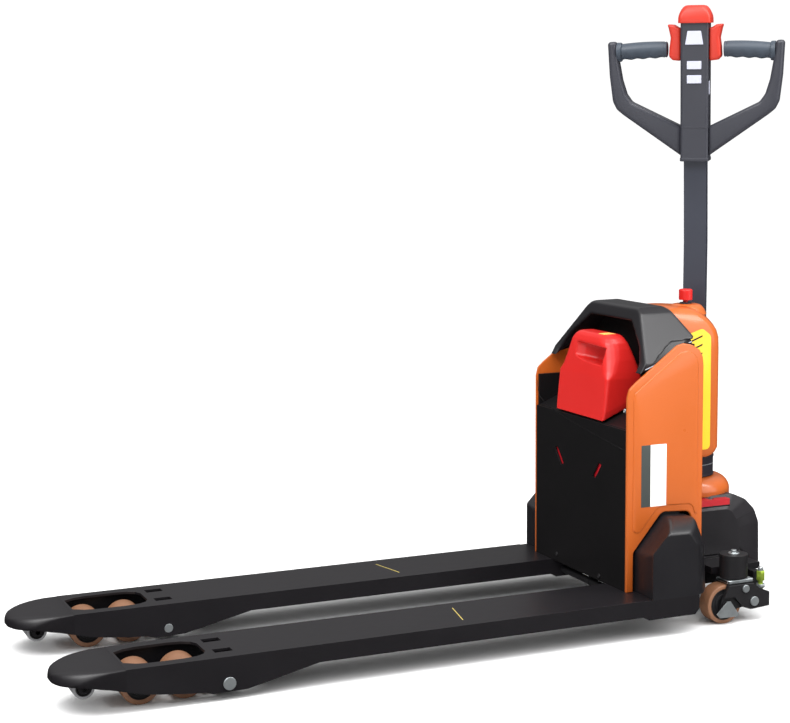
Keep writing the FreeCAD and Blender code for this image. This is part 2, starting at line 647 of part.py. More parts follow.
def castor_bolts(side):
    middle = dim(CASTOR_Y * side)
    heads = [(middle + y - 2, middle + y + 2) for y in (-31.5, 31.5)]
    pivot = fuse(bar(8, (middle - 30, middle + 30), ALONG_Y, x=CASTOR_PIVOT, z=CASTOR_PIVOT_Z),
                 *[bar(10, ends, ALONG_Y, x=CASTOR_PIVOT, z=CASTOR_PIVOT_Z) for ends in heads])
    guides = [bar(8, ends, ALONG_Y, x=AXIS - 8, z=73) for ends in heads]
    screw = fuse(bar(12, (dim(143), dim(145)), ALONG_Z, x=BLOCK_X, y=middle),
                 bar(6, (dim(145), dim(151)), ALONG_Z, x=BLOCK_X, y=middle))
    return [pivot, *guides, screw]


def level_bolt(side):
    middle = dim((CASTOR_Y + 14) * side)
    return fuse(*[bar(radius, (dim(low), dim(high)), ALONG_Z, x=AXIS + 40, y=middle)
                  for radius, low, high in ((6, 60, 110), (10, 67, 75), (9, 97, 105))])


for side_name, side in SIDES:
    node("castor_bracket_" + side_name, castor_bracket(side))
    node("castor_arm_" + side_name, castor_arm(side))
    node("castor_wheel_" + side_name, tyred_wheel(CASTOR_RADIUS, 10, 7 + PLAY, 18, CASTOR_X,
                                                  dim(CASTOR_Y * side), CASTOR_RADIUS))
node("castor_bolts", group(*castor_bolts(LEFT), *castor_bolts(RIGHT)))
node("level_bolts", group(level_bolt(LEFT), level_bolt(RIGHT)))


# ---------------------------------------------------------------- steering head and drive wheel

TILLER_PIVOT = 122            # tiller's low pivot behind the steering axis
TILLER_PIVOT_Z = 262
TILLER_PIN = 8
DOME_FOOT, DOME_RIM, DOME_TOP = Vector(98, 0, 238), Vector(98, 0, 246), Vector(66, 0, 274)
DOME_LOW, DOME_HIGH = Vector(0, 0, 238), Vector(0, 0, 274)
dome_wire = Part.Wire([Part.makeLine(DOME_LOW, DOME_FOOT), Part.makeLine(DOME_FOOT, DOME_RIM),
                       Part.Arc(DOME_RIM, Vector(89, 0, 265), DOME_TOP).toShape(),
                       Part.makeLine(DOME_TOP, DOME_HIGH), Part.makeLine(DOME_HIGH, DOME_LOW)])
dome = shaped(Part.Face(dome_wire).revolve(Vector(0, 0, 0), Vector(0, 0, 1), 360))
yoke = [block((60, TILLER_PIVOT + 18), span(side, 26, 35), (247, 280)) for side in (LEFT, RIGHT)]
yoke_pin_hole = bar(TILLER_PIN, (-40, 40), ALONG_Y, x=TILLER_PIVOT, z=TILLER_PIVOT_Z)
arm_room = block((TILLER_PIVOT - 21, TILLER_PIVOT + 40), (-26, 26), (236, 290))
spindle = bar(SPINDLE, (221, 240), ALONG_Z)
node("steering_head", cut(fuse(dome, spindle, *yoke), yoke_pin_hole, arm_room), steered=True)
node("tiller_pin", bar(TILLER_PIN, (-38, 38), ALONG_Y, x=TILLER_PIVOT, z=TILLER_PIVOT_Z), steered=True)
node("lift_cylinder", cut(fuse(bar(62, (274, 322), ALONG_Z), bar(40, (320, 470), ALONG_Z)),
                          bar(RAM_RADIUS + PLAY, (300, 480), ALONG_Z)), steered=True)

crown = bar(60, (211.5, 221), ALONG_Z)
legs = [cut(block((-25, 25), span(side, 40, 48), (86, 212)),
            bar(12, (dim(-60), dim(60)), ALONG_Y, z=DRIVE_RADIUS)) for side in (LEFT, RIGHT)]
node("drive_fork", fuse(crown, *legs), steered=True)
node("drive_axle", bar(12, (-50, 50), ALONG_Y, z=DRIVE_RADIUS), steered=True)
HUB_RADIUS = DRIVE_RADIUS - 27
node("drive_tyre", ring(DRIVE_RADIUS, HUB_RADIUS, DRIVE_WIDTH / 2, dim(0), dim(0), DRIVE_RADIUS),
     steered=True)
node("drive_hub", ring(HUB_RADIUS, 12 + PLAY, dim(37), dim(0), dim(0), DRIVE_RADIUS), steered=True)


# ---------------------------------------------------------------- tiller

def leant(points):
    """Where points drawn upright come to lie when the tiller's upper part is tilted."""
    moved = [LEAN.multVec(Vector(x, 0, z)) for x, z in points]
    return [(point.x, point.z) for point in moved]


TUBE_HALF = 25
socket = [(157, 780), (152, 1010), (120, 1010), (125, 780)]
tube_outline = [(106, 262), (110, 250), (122, 246), (134, 250), (138, 262)] + leant(socket)
tube_inside = [(109, 300), (139, 300)] + leant([(154, 780), (149, 1007), (123, 1007), (128, 780)])
tube = cut(prism("XZ", [tube_outline], (-TUBE_HALF, TUBE_HALF)),
           prism("XZ", [tube_inside], (3 - TUBE_HALF, TUBE_HALF - 3)),
           bar(TILLER_PIN + PLAY, (-40, 40), ALONG_Y, x=TILLER_PIVOT, z=TILLER_PIVOT_Z))
node("tiller_tube", tube, steered=True)

HEAD_FRONT, HEAD_BACK = 104, 160
HEAD_HALF = 31
GRIP_Z = 1211
GRIP_X = (HEAD_FRONT + HEAD_BACK) / 2
HEAD_BOTTOM, HEAD_TOP = 964, 1287
head = rounded(block((HEAD_FRONT, HEAD_BACK), (-HEAD_HALF, HEAD_HALF), (HEAD_BOTTOM, HEAD_TOP)), 6,
               lambda edge: runs_along(edge, Vector(0, 0, 1)))
tube_socket = prism("XZ", [socket], (-TUBE_HALF, TUBE_HALF))
KEY_BACK = HEAD_FRONT + 6
KEYS = (("horn_key", 1222, 1252, 20, 15), ("raise_key", 1168, 1186, 16, 16),
        ("lower_key", 1137, 1155, 16, 16))


def key_outline(low, high, foot, top, room):
    return [(-foot - room, low - room), (foot + room, low - room), (top + room, high + room),
            (-top - room, high + room)]


recesses = [prism("YZ", [key_outline(low, high, foot, top, 0.3)], (HEAD_FRONT - 5, KEY_BACK + 2))
            for name, low, high, foot, top in KEYS]
throttle_bore = bar(6 + PLAY, (-40, 40), ALONG_Y, x=GRIP_X, z=GRIP_Z + 16)
button_bore = bar(8 + PLAY, (1250, 1300), ALONG_Z, x=GRIP_X)
node("tiller_head", cut(head, tube_socket, *recesses, throttle_bore, button_bore), steered=True,
     leaning=True)
for name, low, high, foot, top in KEYS:
    node(name, prism("YZ", [key_outline(low, high, foot, top, 0)], (HEAD_FRONT - 2.5, KEY_BACK - 0.5)),
         steered=True, leaning=True)


def handle_arm(side):
    outline = [(HEAD_HALF, 976), (160, 1066), (176, 1078), (185, 1097), (192, 1155), (HANDLE_HALF, 1229),
               (HANDLE_HALF - 18, 1229), (173, 1185), (167, 1145), (158, 1112), (147, 1094),
               (HEAD_HALF, 1042)]
    return prism("YZ", [mirrored(outline, side)], (GRIP_X - 20, GRIP_X + 20))


node("handle_loop", group(handle_arm(LEFT), handle_arm(RIGHT)), steered=True, leaning=True)
GRIP_START = 62
node("handle_grips", group(*[bar(19, span(side, GRIP_START, 172.5), ALONG_Y, x=GRIP_X, z=GRIP_Z)
                             for side in (LEFT, RIGHT)]), steered=True, leaning=True)


def throttle_wing(side):
    outline = [(HEAD_HALF + 0.6, 1186), (50, 1189), (57, 1197), (57, 1216), (54, 1236), (60, 1261),
               (62, 1267), (44, 1266), (38, 1258), (HEAD_HALF + 0.6, 1257)]
    return prism("YZ", [mirrored(outline, side)], (GRIP_X - 20, GRIP_X + 20))


node("throttle_wings", fuse(throttle_wing(LEFT), throttle_wing(RIGHT),
                            bar(6, (-40, 40), ALONG_Y, x=GRIP_X, z=GRIP_Z + 16)), steered=True, leaning=True)
cap_outline = [(-36, 1269), (36, 1269), (35, 1286), (26, TILLER_TOP), (-26, TILLER_TOP), (-35, 1286)]
cap_room = block((HEAD_FRONT - 0.6, HEAD_BACK + 0.6), (-HEAD_HALF - 0.6, HEAD_HALF + 0.6), (1260, 1295))
node("belly_button", fuse(cut(prism("YZ", [cap_outline], (HEAD_FRONT - 5, HEAD_BACK + 5)), cap_room),
                          bar(8, (1260, 1296), ALONG_Z, x=GRIP_X)), steered=True, leaning=True)


# ---------------------------------------------------------------- check and write

doc.recompute()
for obj in doc.Objects:
    if {"Invalid", "Error"} & set(obj.State):
        raise RuntimeError("%s (%s) failed: %s" % (obj.Name, obj.Label, obj.State))
for obj in nodes:
    if obj.Shape.isNull() or not obj.Shape.isValid():
        raise RuntimeError("%s has no valid shape" % obj.Label)
    obj.Shape.exportStep("parts/%s.step" % obj.Label)
box = FreeCAD.BoundBox()
for obj in nodes:
    box.add(obj.Shape.BoundBox)
print("%d sub-parts, box %s" % (len(nodes), box))
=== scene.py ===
import json
import math

import bmesh
import bpy
from mathutils import Matrix, Vector


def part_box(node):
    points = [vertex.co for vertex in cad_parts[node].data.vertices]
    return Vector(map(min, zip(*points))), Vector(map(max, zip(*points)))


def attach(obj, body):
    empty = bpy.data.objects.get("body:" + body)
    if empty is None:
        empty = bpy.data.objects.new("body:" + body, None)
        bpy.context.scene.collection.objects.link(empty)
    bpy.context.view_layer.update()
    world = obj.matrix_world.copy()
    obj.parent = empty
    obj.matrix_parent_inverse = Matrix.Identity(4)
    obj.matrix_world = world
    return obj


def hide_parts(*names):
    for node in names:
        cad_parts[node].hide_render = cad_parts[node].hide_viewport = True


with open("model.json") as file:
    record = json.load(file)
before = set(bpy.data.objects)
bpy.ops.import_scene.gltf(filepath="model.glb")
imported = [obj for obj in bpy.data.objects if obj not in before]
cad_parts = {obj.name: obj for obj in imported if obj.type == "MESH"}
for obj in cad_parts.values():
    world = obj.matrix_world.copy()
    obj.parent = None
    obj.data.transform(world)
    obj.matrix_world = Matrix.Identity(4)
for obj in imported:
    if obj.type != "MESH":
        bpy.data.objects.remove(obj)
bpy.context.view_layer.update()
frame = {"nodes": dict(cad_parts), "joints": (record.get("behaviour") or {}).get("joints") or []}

# ------------------------------------ datums
# Pieces are drawn in millimetres in the row frame: x runs from the fork tips to the tiller, z is up.

MM = 0.001
RIGHT_ANGLE = math.pi / 2
FULL_TURN = 2 * math.pi
SIDES = (("left", -1), ("right", 1))

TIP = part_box("fork_left")[0].x / MM
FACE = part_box("front_plate")[0].x / MM
FORK_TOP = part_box("fork_left")[1].z / MM
FORK_CENTRE = (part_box("fork_right")[0].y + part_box("fork_right")[1].y) / 2 / MM
PANEL_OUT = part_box("side_panel_right")[1].y / MM

# The steering stands turned in the photograph, and the tiller leans about its bend.
JOINTS = {joint["name"]: joint for joint in frame["joints"]}
AXIS = JOINTS["steer"]["pos_m"][0] / MM
ROLLING_AXIS = JOINTS["drive_spin"]["axis"]
STEER = math.atan2(-ROLLING_AXIS[0], ROLLING_AXIS[1])
STEERED = Matrix.Translation((AXIS * MM, 0, 0)) @ Matrix.Rotation(STEER, 4, "Z")
BEND = Vector((141, 0, 780)) * MM
LEAN = Matrix.Rotation(math.radians(-3.8), 4, "Y")
LEANT = STEERED @ Matrix.Translation(BEND) @ LEAN @ Matrix.Translation(-BEND)


# ------------------------------------ materials

ROUGH_SWING = 0.15        # share by which roughness drifts
DRIFT_RANGE = (0.15, 0.85)
GRAIN_STRENGTH = 0.35
COAT_ROUGHNESS = 0.12


def linear(red, green, blue):
    """Linear colour from a screen colour of 0 to 255."""
    return tuple(((c / 255 + 0.055) / 1.055) ** 2.4 for c in (red, green, blue)) + (1.0,)


def scaled(colour, factor):
    return tuple(min(1.0, c * factor) for c in colour[:3]) + (1.0,)


class Nodes:
    """A short way to write a material's node tree."""

    def __init__(self, name):
        self.material = bpy.data.materials.new(name)
        self.material.use_nodes = True
        self.tree = self.material.node_tree
        self.shader = self.tree.nodes["Principled BSDF"]
        self.place = self.add("ShaderNodeTexCoord").outputs["Object"]

    def add(self, kind, **values):
        node = self.tree.nodes.new(kind)
        for key, value in values.items():
            if hasattr(node, key):
                setattr(node, key, value)
            else:
                node.inputs[key.replace("_", " ")].default_value = value
        return node

    def link(self, out, into):
        self.tree.links.new(out, into)

    def noise(self, scale, detail=3.0, rough=0.55):
        node = self.add("ShaderNodeTexNoise", Scale=scale, Detail=detail, Roughness=rough)
        self.link(self.place, node.inputs["Vector"])
        return node.outputs["Fac"]

    def spread(self, value, low, high):
        """Stretch a noise's usual range to the one from low to high."""
        node = self.add("ShaderNodeMapRange")
        ranges = {"From Min": DRIFT_RANGE[0], "From Max": DRIFT_RANGE[1], "To Min": low, "To Max": high}
        for socket, number in ranges.items():
            node.inputs[socket].default_value = number
        self.link(value, node.inputs["Value"])
        return node.outputs["Result"]

    def blend(self, value, first, second):
        node = self.add("ShaderNodeMix", data_type="RGBA")
        node.inputs["A"].default_value = first
        node.inputs["B"].default_value = second
        self.link(value, node.inputs["Factor"])
        return node.outputs["Result"]

    def bump(self, value, strength, distance):
        node = self.add("ShaderNodeBump", Strength=strength, Distance=distance)
        self.link(value, node.inputs["Height"])
        self.link(node.outputs["Normal"], self.shader.inputs["Normal"])


def finish_of(name, colour, rough, vary=0.12, metal=0.0, coat=0.0, grain=900.0, depth=0.02, cloud=9.0,
              specular=0.35):
    """Colour that drifts a little, roughness that drifts with it, and a fine grain in relief."""
    n = Nodes(name)
    base = linear(*colour)
    drift = n.noise(cloud, detail=4.0)
    n.link(n.blend(n.spread(drift, 0, 1), scaled(base, 1 - vary), scaled(base, 1 + vary)),
           n.shader.inputs["Base Color"])
    fine = n.noise(grain)
    n.link(n.spread(drift, rough * (1 - ROUGH_SWING), min(1.0, rough * (1 + ROUGH_SWING))),
           n.shader.inputs["Roughness"])
    n.bump(fine, GRAIN_STRENGTH, depth * MM)
    n.shader.inputs["Metallic"].default_value = metal
    n.shader.inputs["Coat Weight"].default_value = coat
    n.shader.inputs["Coat Roughness"].default_value = COAT_ROUGHNESS
    n.shader.inputs["Specular IOR Level"].default_value = specular
    return n.material


FINISHES = {
    "chassis_black": dict(colour=(22, 20, 23), rough=0.38, grain=700, depth=0.05, specular=0.36),
    "plate_black": dict(colour=(19, 18, 19), rough=0.4, grain=700, depth=0.06, specular=0.2),
    "body_orange": dict(colour=(184, 90, 33), rough=0.3, vary=0.03, coat=0.3, grain=260, depth=0.05),
    "cover_black": dict(colour=(25, 24, 27), rough=0.34, grain=1500, depth=0.05, specular=0.4),
    "hood_black": dict(colour=(32, 30, 33), rough=0.36, grain=1500, depth=0.05, specular=0.45),
    # painted highlight: the pale grey of the bead that stands in for the light caught on the cover's lower
    # edge
    "painted_highlight_grey": dict(colour=(176, 180, 190), rough=0.35, vary=0.08, grain=1200, depth=0.03),
    "grip_rubber": dict(colour=(60, 68, 78), rough=0.4, grain=1200, depth=0.08),
    "handle_black": dict(colour=(54, 55, 62), rough=0.38, grain=1300, depth=0.05),
    "signal_red": dict(colour=(194, 32, 29), rough=0.33, vary=0.05, grain=1200, depth=0.03),
    # painted shade: the case's red made darker for the shade inside the hand recess
    "pocket_shaded_red": dict(colour=(120, 12, 18), rough=0.5, vary=0.1, grain=1200, depth=0.03),
    "switch_red": dict(colour=(184, 48, 34), rough=0.36, vary=0.05, grain=1200, depth=0.03),
    "red_paint": dict(colour=(176, 22, 34), rough=0.4, vary=0.08, grain=600, depth=0.04),
    "key_white": dict(colour=(186, 188, 204), rough=0.35, vary=0.03, grain=1500, depth=0.02),
    "tiller_slate": dict(colour=(50, 53, 63), rough=0.34, grain=800, depth=0.05),
    "cylinder_black": dict(colour=(36, 34, 42), rough=0.4, grain=900, depth=0.04),
    "zinc": dict(colour=(190, 196, 198), rough=0.32, vary=0.15, metal=0.85, grain=500, depth=0.03, cloud=60),
    "yellow_zinc": dict(colour=(160, 184, 70), rough=0.3, vary=0.2, metal=0.7, grain=500, depth=0.03,
                        cloud=90),
    "linkage_steel": dict(colour=(28, 27, 29), rough=0.45, grain=700, depth=0.05),
    "wheel_polyurethane": dict(colour=(130, 92, 68), rough=0.4, vary=0.16, grain=500, depth=0.06, cloud=40),
    "roller_grey": dict(colour=(120, 120, 122), rough=0.5, vary=0.14, grain=500, depth=0.06, cloud=40),
    "hub_black": dict(colour=(26, 25, 27), rough=0.42, vary=0.15, grain=700, depth=0.05),
    "drive_rubber": dict(colour=(30, 29, 29), rough=0.75, grain=900, depth=0.2),
    "hub_grey": dict(colour=(140, 142, 146), rough=0.42, vary=0.1, metal=0.7, grain=400, depth=0.08),
    "label_yellow": dict(colour=(234, 190, 30), rough=0.35, vary=0.03, coat=0.3, depth=0.01),
    "label_cream": dict(colour=(244, 196, 104), rough=0.4, vary=0.05, depth=0.01),
    "label_white": dict(colour=(238, 238, 236), rough=0.3, vary=0.02, coat=0.3, depth=0.01),
    "label_dark": dict(colour=(64, 68, 66), rough=0.3, vary=0.04, coat=0.3, depth=0.01),
    "label_ink": dict(colour=(26, 24, 16), rough=0.4, vary=0.05, depth=0.01),
    "mark_yellow": dict(colour=(196, 176, 96), rough=0.5, vary=0.15, depth=0.02),
}
MATERIALS = {name: finish_of(name, **look) for name, look in FINISHES.items()}


# ------------------------------------ mesh helpers

WELD_REACH = 0.02 * MM
FLAT_ANGLE = math.radians(1.0)
NORMAL_WEIGHT = 50
CREASE, TURNED_CREASE, HEEL_CREASE = 50, 28, 60


def worn(material, body="chassis", slot=None):
    """What a piece wears: its material or materials, the body it rides on, and a slot name that nothing here
    uses.
    """
    return material, body, slot or material


def paint(obj, *materials):
    obj.data.materials.clear()
    for material in materials:
        obj.data.materials.append(MATERIALS[material])
    return obj


def smooth(obj):
    for polygon in obj.data.polygons:
        polygon.use_smooth = True
    return obj


def modifier(obj, kind, **values):
    made = obj.modifiers.new(kind.lower(), kind)
    for key, value in values.items():
        setattr(made, key, value)
    return made


def even_normals(obj):
    modifier(obj, "WEIGHTED_NORMAL", keep_sharp=True, weight=NORMAL_WEIGHT)


def thicken(obj, wall):
    """Give an open shell its wall, inwards."""
    modifier(obj, "SOLIDIFY", thickness=wall * MM, offset=-1)


def edge_round(obj, width, segments=3, angle=30):
    """Weld the imported facets, then round every sharp edge."""
    modifier(obj, "WELD", merge_threshold=WELD_REACH)
    modifier(obj, "DECIMATE", decimate_type="DISSOLVE", angle_limit=FLAT_ANGLE)
    modifier(obj, "BEVEL", width=width * MM, segments=segments, limit_method="ANGLE",
             angle_limit=math.radians(angle), harden_normals=False, use_clamp_overlap=True)
    even_normals(obj)


def moulded(obj, voxel, passes):
    """Turn hard edges into the soft radii of a moulding."""
    modifier(obj, "WELD", merge_threshold=WELD_REACH)
    modifier(obj, "REMESH", mode="VOXEL", voxel_size=voxel * MM, use_smooth_shade=True)
    modifier(obj, "SMOOTH", factor=0.5, iterations=passes)


def edited(obj, change):
    """Change an object's own mesh through bmesh."""
    work = bmesh.new()
    work.from_mesh(obj.data)
    change(work)
    work.to_mesh(obj.data)
    work.free()
    return obj


def shade(obj, angle=CREASE):
    """Smooth shading that breaks at edges sharper than the angle, in degrees."""
    def mark(work):
        for edge in work.edges:
            if len(edge.link_faces) == 2 and edge.calc_face_angle(0) > math.radians(angle):
                edge.smooth = False
    return edited(obj, mark)


def flat_ends(obj):
    """Cut the large end faces into triangles, which keeps the hollow corners of an outline open."""
    def cut(work):
        ends = [face for face in work.faces if len(face.verts) > 4]
        bmesh.ops.triangulate(work, faces=ends, ngon_method="EAR_CLIP")
    return edited(obj, cut)


def upright(obj):
    """Turn an open shell's faces outwards, judged by its highest face."""
    highest = max(obj.data.polygons, key=lambda polygon: polygon.center.z)
    if highest.normal.z < 0:
        obj.data.flip_normals()
    return obj


def new_object(name, points, faces, dress, place=None):
    """A piece from points in millimetres, placed in the row frame, riding on its body."""
    materials, body, slot = dress
    mesh = bpy.data.meshes.new(name)
    mesh.from_pydata([Vector(p) * MM for p in points], [], faces)
    obj = bpy.data.objects.new(name, mesh)

    def clean(work):
        bmesh.ops.remove_doubles(work, verts=work.verts, dist=1e-7)
        bmesh.ops.recalc_face_normals(work, faces=work.faces)
    edited(obj, clean)
    if place:
        mesh.transform(place)
    bpy.context.scene.collection.objects.link(obj)
    smooth(obj)
    paint(obj, *([materials] if isinstance(materials, str) else materials))
    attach(obj, body)
    return obj


# ------------------------------------ outlines

ARC_STEPS = 5
STRAIGHT = 1.565          # half angle in radians past which a corner counts as straight
MITRE_LIMIT = 0.3


def from_face(points):
    """Outline points measured back from the front face of the body."""
    return [(FACE + point[0],) + tuple(point[1:]) for point in points]


def arcs(corners, steps=ARC_STEPS):
    """An outline whose corners, given as (a, b, radius), are turned with arcs."""
    points = []
    for i, (a, b, radius) in enumerate(corners):
        here = Vector((a, b))
        before = Vector(corners[i - 1][:2]) - here
        after = Vector(corners[(i + 1) % len(corners)][:2]) - here
        half = before.angle(after) / 2
        reach = min(radius / math.tan(half), 0.49 * before.length, 0.49 * after.length)
        if reach < 1e-6 or half > STRAIGHT:
            points += [tuple(here)] * (steps + 1)
            continue
        start, end = here + before.normalized() * reach, here + after.normalized() * reach
        inward = (before.normalized() + after.normalized()).normalized()
        middle = here + inward * reach / math.cos(half)
        first, last = start - middle, end - middle
        turn = math.atan2(first.x * last.y - first.y * last.x, first.dot(last))
        for step in range(steps + 1):
            angle = turn * step / steps
            points.append((middle.x + first.x * math.cos(angle) - first.y * math.sin(angle),
                           middle.y + first.x * math.sin(angle) + first.y * math.cos(angle)))
    return points


def double_area(flat):
    return sum(p.x * q.y - q.x * p.y for p, q in zip(flat, flat[1:] + flat[:1]))


def inset(flat, distance):
    """Corner points moved inwards by a distance."""
    turn = 1 if double_area(flat) > 0 else -1
    moved = []
    for i, point in enumerate(flat):
        edges = (point - flat[i - 1], flat[(i + 1) % len(flat)] - point)
        one, other = [Vector((-edge.y, edge.x)).normalized() * turn for edge in edges]
        move = (one + other) * (distance / max(MITRE_LIMIT, 1 + one.dot(other)))
        moved.append((point.x + move.x, point.y + move.y))
    return moved


def pulled_in(corners, distance):
    """A turned outline moved inwards: outer corners tighten, hollow corners widen."""
    sharp = [Vector(corner[:2]) for corner in corners]
    area = double_area(sharp)
    moved = []
    for i, (a, b) in enumerate(inset(sharp, distance)):
        before, after = sharp[i] - sharp[i - 1], sharp[(i + 1) % len(sharp)] - sharp[i]
        hollow = (before.x * after.y - before.y * after.x) * area < 0
        radius = corners[i][2] if len(corners[i]) > 2 else 0.0
        moved.append((a, b, radius + distance if hollow else max(0.0, radius - distance)))
    return arcs(moved)


# ------------------------------------ kinds of piece

PLANES = {"XZ": lambda a, b, depth: (a, depth, b), "YZ": lambda a, b, depth: (depth, a, b),
          "XY": lambda a, b, depth: (a, b, depth)}
SPIN = {"X": PLANES["YZ"], "Y": PLANES["XZ"], "Z": PLANES["XY"]}
TUBE_SIDES = 10


def strips(rows, count, closed):
    """Four-sided faces between neighbouring rows of points."""
    faces = []
    for row in range(rows - 1):
        for i in range(count if closed else count - 1):
            j = (i + 1) % count
            faces.append((row * count + i, row * count + j, (row + 1) * count + j, (row + 1) * count + i))
    return faces


def loft(name, loops, dress, caps=(True, True), place=None, closed=True):
    """Loops with the same number of points, joined in order."""
    count = len(loops[0])
    points = [p for loop in loops for p in loop]
    faces = strips(len(loops), count, closed)
    if caps[0]:
        faces.append(tuple(range(count)))
    if caps[1]:
        faces.append(tuple(range((len(loops) - 1) * count, len(loops) * count)))
    return new_object(name, points, faces, dress, place)


def slab(name, plane, corners, ends, edge, dress, place=None, steps=4, back_edge=0.6):
    """A plate between two depths, its front edge rounded by edge and its back edge by back_edge.

    The corners are (a, b, radius) or (a, b)."""
    front, back = ends
    toward = 1 if back > front else -1
    sections = []
    for radius, depth, way in ((edge, front, toward), (back_edge, back, -toward)):
        rows = []
        for step in range(steps + 1):
            angle = RIGHT_ANGLE * step / steps
            rows.append((pulled_in(corners, radius * (1 - math.sin(angle))),
                         depth + way * radius * (1 - math.cos(angle))))
        sections += rows if way == toward else rows[::-1]
    loops = [[PLANES[plane](a, b, depth) for a, b in points] for points, depth in sections]
    return shade(flat_ends(loft(name, loops, dress, place=place)))


def decal(name, plane, corners, ends, dress, edge=0.1, place=None):
    """A film with crisp edges that lies on its surface."""
    return slab(name, plane, corners, ends, edge, dress, place=place, back_edge=0.02)


def lathe(name, profile, centre, axis, dress, place=None, segments=56, ring=True):
    """A turned piece: (radius, distance along the axis) pairs, closed on itself when ring is true."""
    points, faces = [], []
    for radius, along in profile:
        for step in range(segments):
            angle = FULL_TURN * step / segments
            spot = SPIN[axis](radius * math.cos(angle), radius * math.sin(angle), along)
            points.append(tuple(c + d for c, d in zip(centre, spot)))
    rows = len(profile) if ring else len(profile) - 1
    for row in range(rows):
        following = (row + 1) % len(profile)
        for step in range(segments):
            beside = (step + 1) % segments
            faces.append((row * segments + step, row * segments + beside, following * segments + beside,
                          following * segments + step))
    if not ring:
        faces.append(tuple(range(segments)))
        faces.append(tuple(range(rows * segments, (rows + 1) * segments)))
    return shade(new_object(name, points, faces, dress, place), TURNED_CREASE)


def tube(name, points, radius, dress, place=None):
    """A round bead along a run of points."""
    spots = [Vector(p) for p in points]
    askew = Vector((0.13, 0.31, 0.94))
    loops = []
    for i, spot in enumerate(spots):
        along = (spots[min(i + 1, len(spots) - 1)] - spots[max(i - 1, 0)]).normalized()
        side = along.cross(askew).normalized()
        other = along.cross(side)
        angles = [FULL_TURN * k / TUBE_SIDES for k in range(TUBE_SIDES)]
        loops.append([tuple(spot + (side * math.cos(t) + other * math.sin(t)) * radius) for t in angles])
    return loft(name, loops, dress, place=place)


# ------------------------------------ CAD nodes with their finishes

CAD_FINISHES = (          # finish, edge radius, steps, nodes
    ("chassis_black", 1.5, 3, ("lift_bracket", "rear_panels", "controller_box", "base_frame")),
    ("plate_black", 1.0, 3, ("frame_box", "battery_tray", "front_plate")),
    ("body_orange", 3.0, 3, ("steering_head",)),
    ("handle_black", 3.0, 4, ("tiller_head",)),
    ("tiller_slate", 3.0, 4, ("tiller_tube",)),
    ("signal_red", 0.4, 2, ("estop_button",)),
    ("cylinder_black", 1.0, 3, ("estop_collar",)),
    ("cylinder_black", 2.0, 3, ("lift_cylinder",)),
    ("key_white", 1.2, 3, ("horn_key", "raise_key", "lower_key")),
    ("red_paint", 1.5, 3, ("hydraulic_pack", "slewing_flange")),
    ("zinc", 0.8, 3, ("fork_pins", "castor_bolts", "drive_axle", "tiller_pin", "lift_ram")),
    ("linkage_steel", 1.5, 3, ("load_arm_left", "load_arm_right", "load_bogie_left", "load_bogie_right",
                               "push_rod_left", "push_rod_right", "rocker_shaft", "drive_fork")),
    ("drive_rubber", 5.0, 4, ("drive_tyre",)),
    ("hub_grey", 2.0, 3, ("drive_hub",)),
    ("hub_black", 1.2, 3, ("castor_bracket_left", "castor_bracket_right")),
    ("hub_black", 0.5, 3, ("castor_arm_left", "castor_arm_right")),
)
COVER_VOXEL, COVER_PASSES = 2.2, 14
CASTOR_Y = 225
PLATED_ABOVE = 85.5       # height past which a castor arm is plated
PLATED_BESIDE = 23.2      # distance from the arm's middle past which it is plated
PLATED_LOW = 49           # height under which its inner faces are plated
PLATED_LOW_REACH = (19, 22.4)    # how near they come to the middle, and how far they go


def cad(name, material, width, segments):
    """Give a CAD node its finish and round its edges."""
    edge_round(paint(smooth(frame["nodes"][name]), material), width, segments)


def plated(spots, middle):
    """Whether a castor arm's face, given by its corners, is zinc plated."""
    heights = [spot.z for spot in spots]
    reach = [abs(spot.y - middle) for spot in spots]
    low = max(heights) < PLATED_LOW and min(reach) < PLATED_LOW_REACH[0] and max(reach) < PLATED_LOW_REACH[1]
    return min(heights) > PLATED_ABOVE or min(reach) > PLATED_BESIDE or low


def plate_castor_arm(side_name, side):
    obj = frame["nodes"]["castor_arm_" + side_name]
    obj.data.materials.append(MATERIALS["zinc"])
    spots = [v.co / MM for v in obj.data.vertices]
    for polygon in obj.data.polygons:
        if plated([spots[i] for i in polygon.vertices], side * CASTOR_Y):
            polygon.material_index = len(obj.data.materials) - 1


for material, width, segments, names in CAD_FINISHES:
    for name in names:
        cad(name, material, width, segments)
moulded(paint(smooth(frame["nodes"]["top_cover"]), "cover_black"), COVER_VOXEL, COVER_PASSES)
for side_name, side in SIDES:
    plate_castor_arm(side_name, side)


# ------------------------------------ wheels

WHEELS = (                # name, tyre, slot, radius, tread, bore, shoulder
    ("load_wheel_%s_front", "wheel_polyurethane", "wheel_polyurethane", 36.0, 9.0, 8.0, 2.5),
    ("load_wheel_%s_rear", "wheel_polyurethane", "wheel_polyurethane", 36.0, 9.0, 8.0, 2.5),
    ("castor_wheel_%s", "wheel_polyurethane", "wheel_polyurethane", 41.0, 8.0, 7.0, 2.5),
    ("entry_roller_%s", "roller_grey", "zinc", 20.0, 5.0, 5.0, 3.0),
)
SHOULDER_STEPS = 4
TREAD_FOOT = 0.4          # how far the tyre's foot is inside its flank
HUB_DISH = ((1.0, 0.0, 1.2), (1.0, 2.0, 1.0), (1.0, 3.0, 2.5), (0.68, 0.0, 2.8), (0.66, 0.0, 1.4),
            (0.52, 0.0, 1.2), (0.5, 0.0, 3.4))
BORE_DEPTH = 3.6


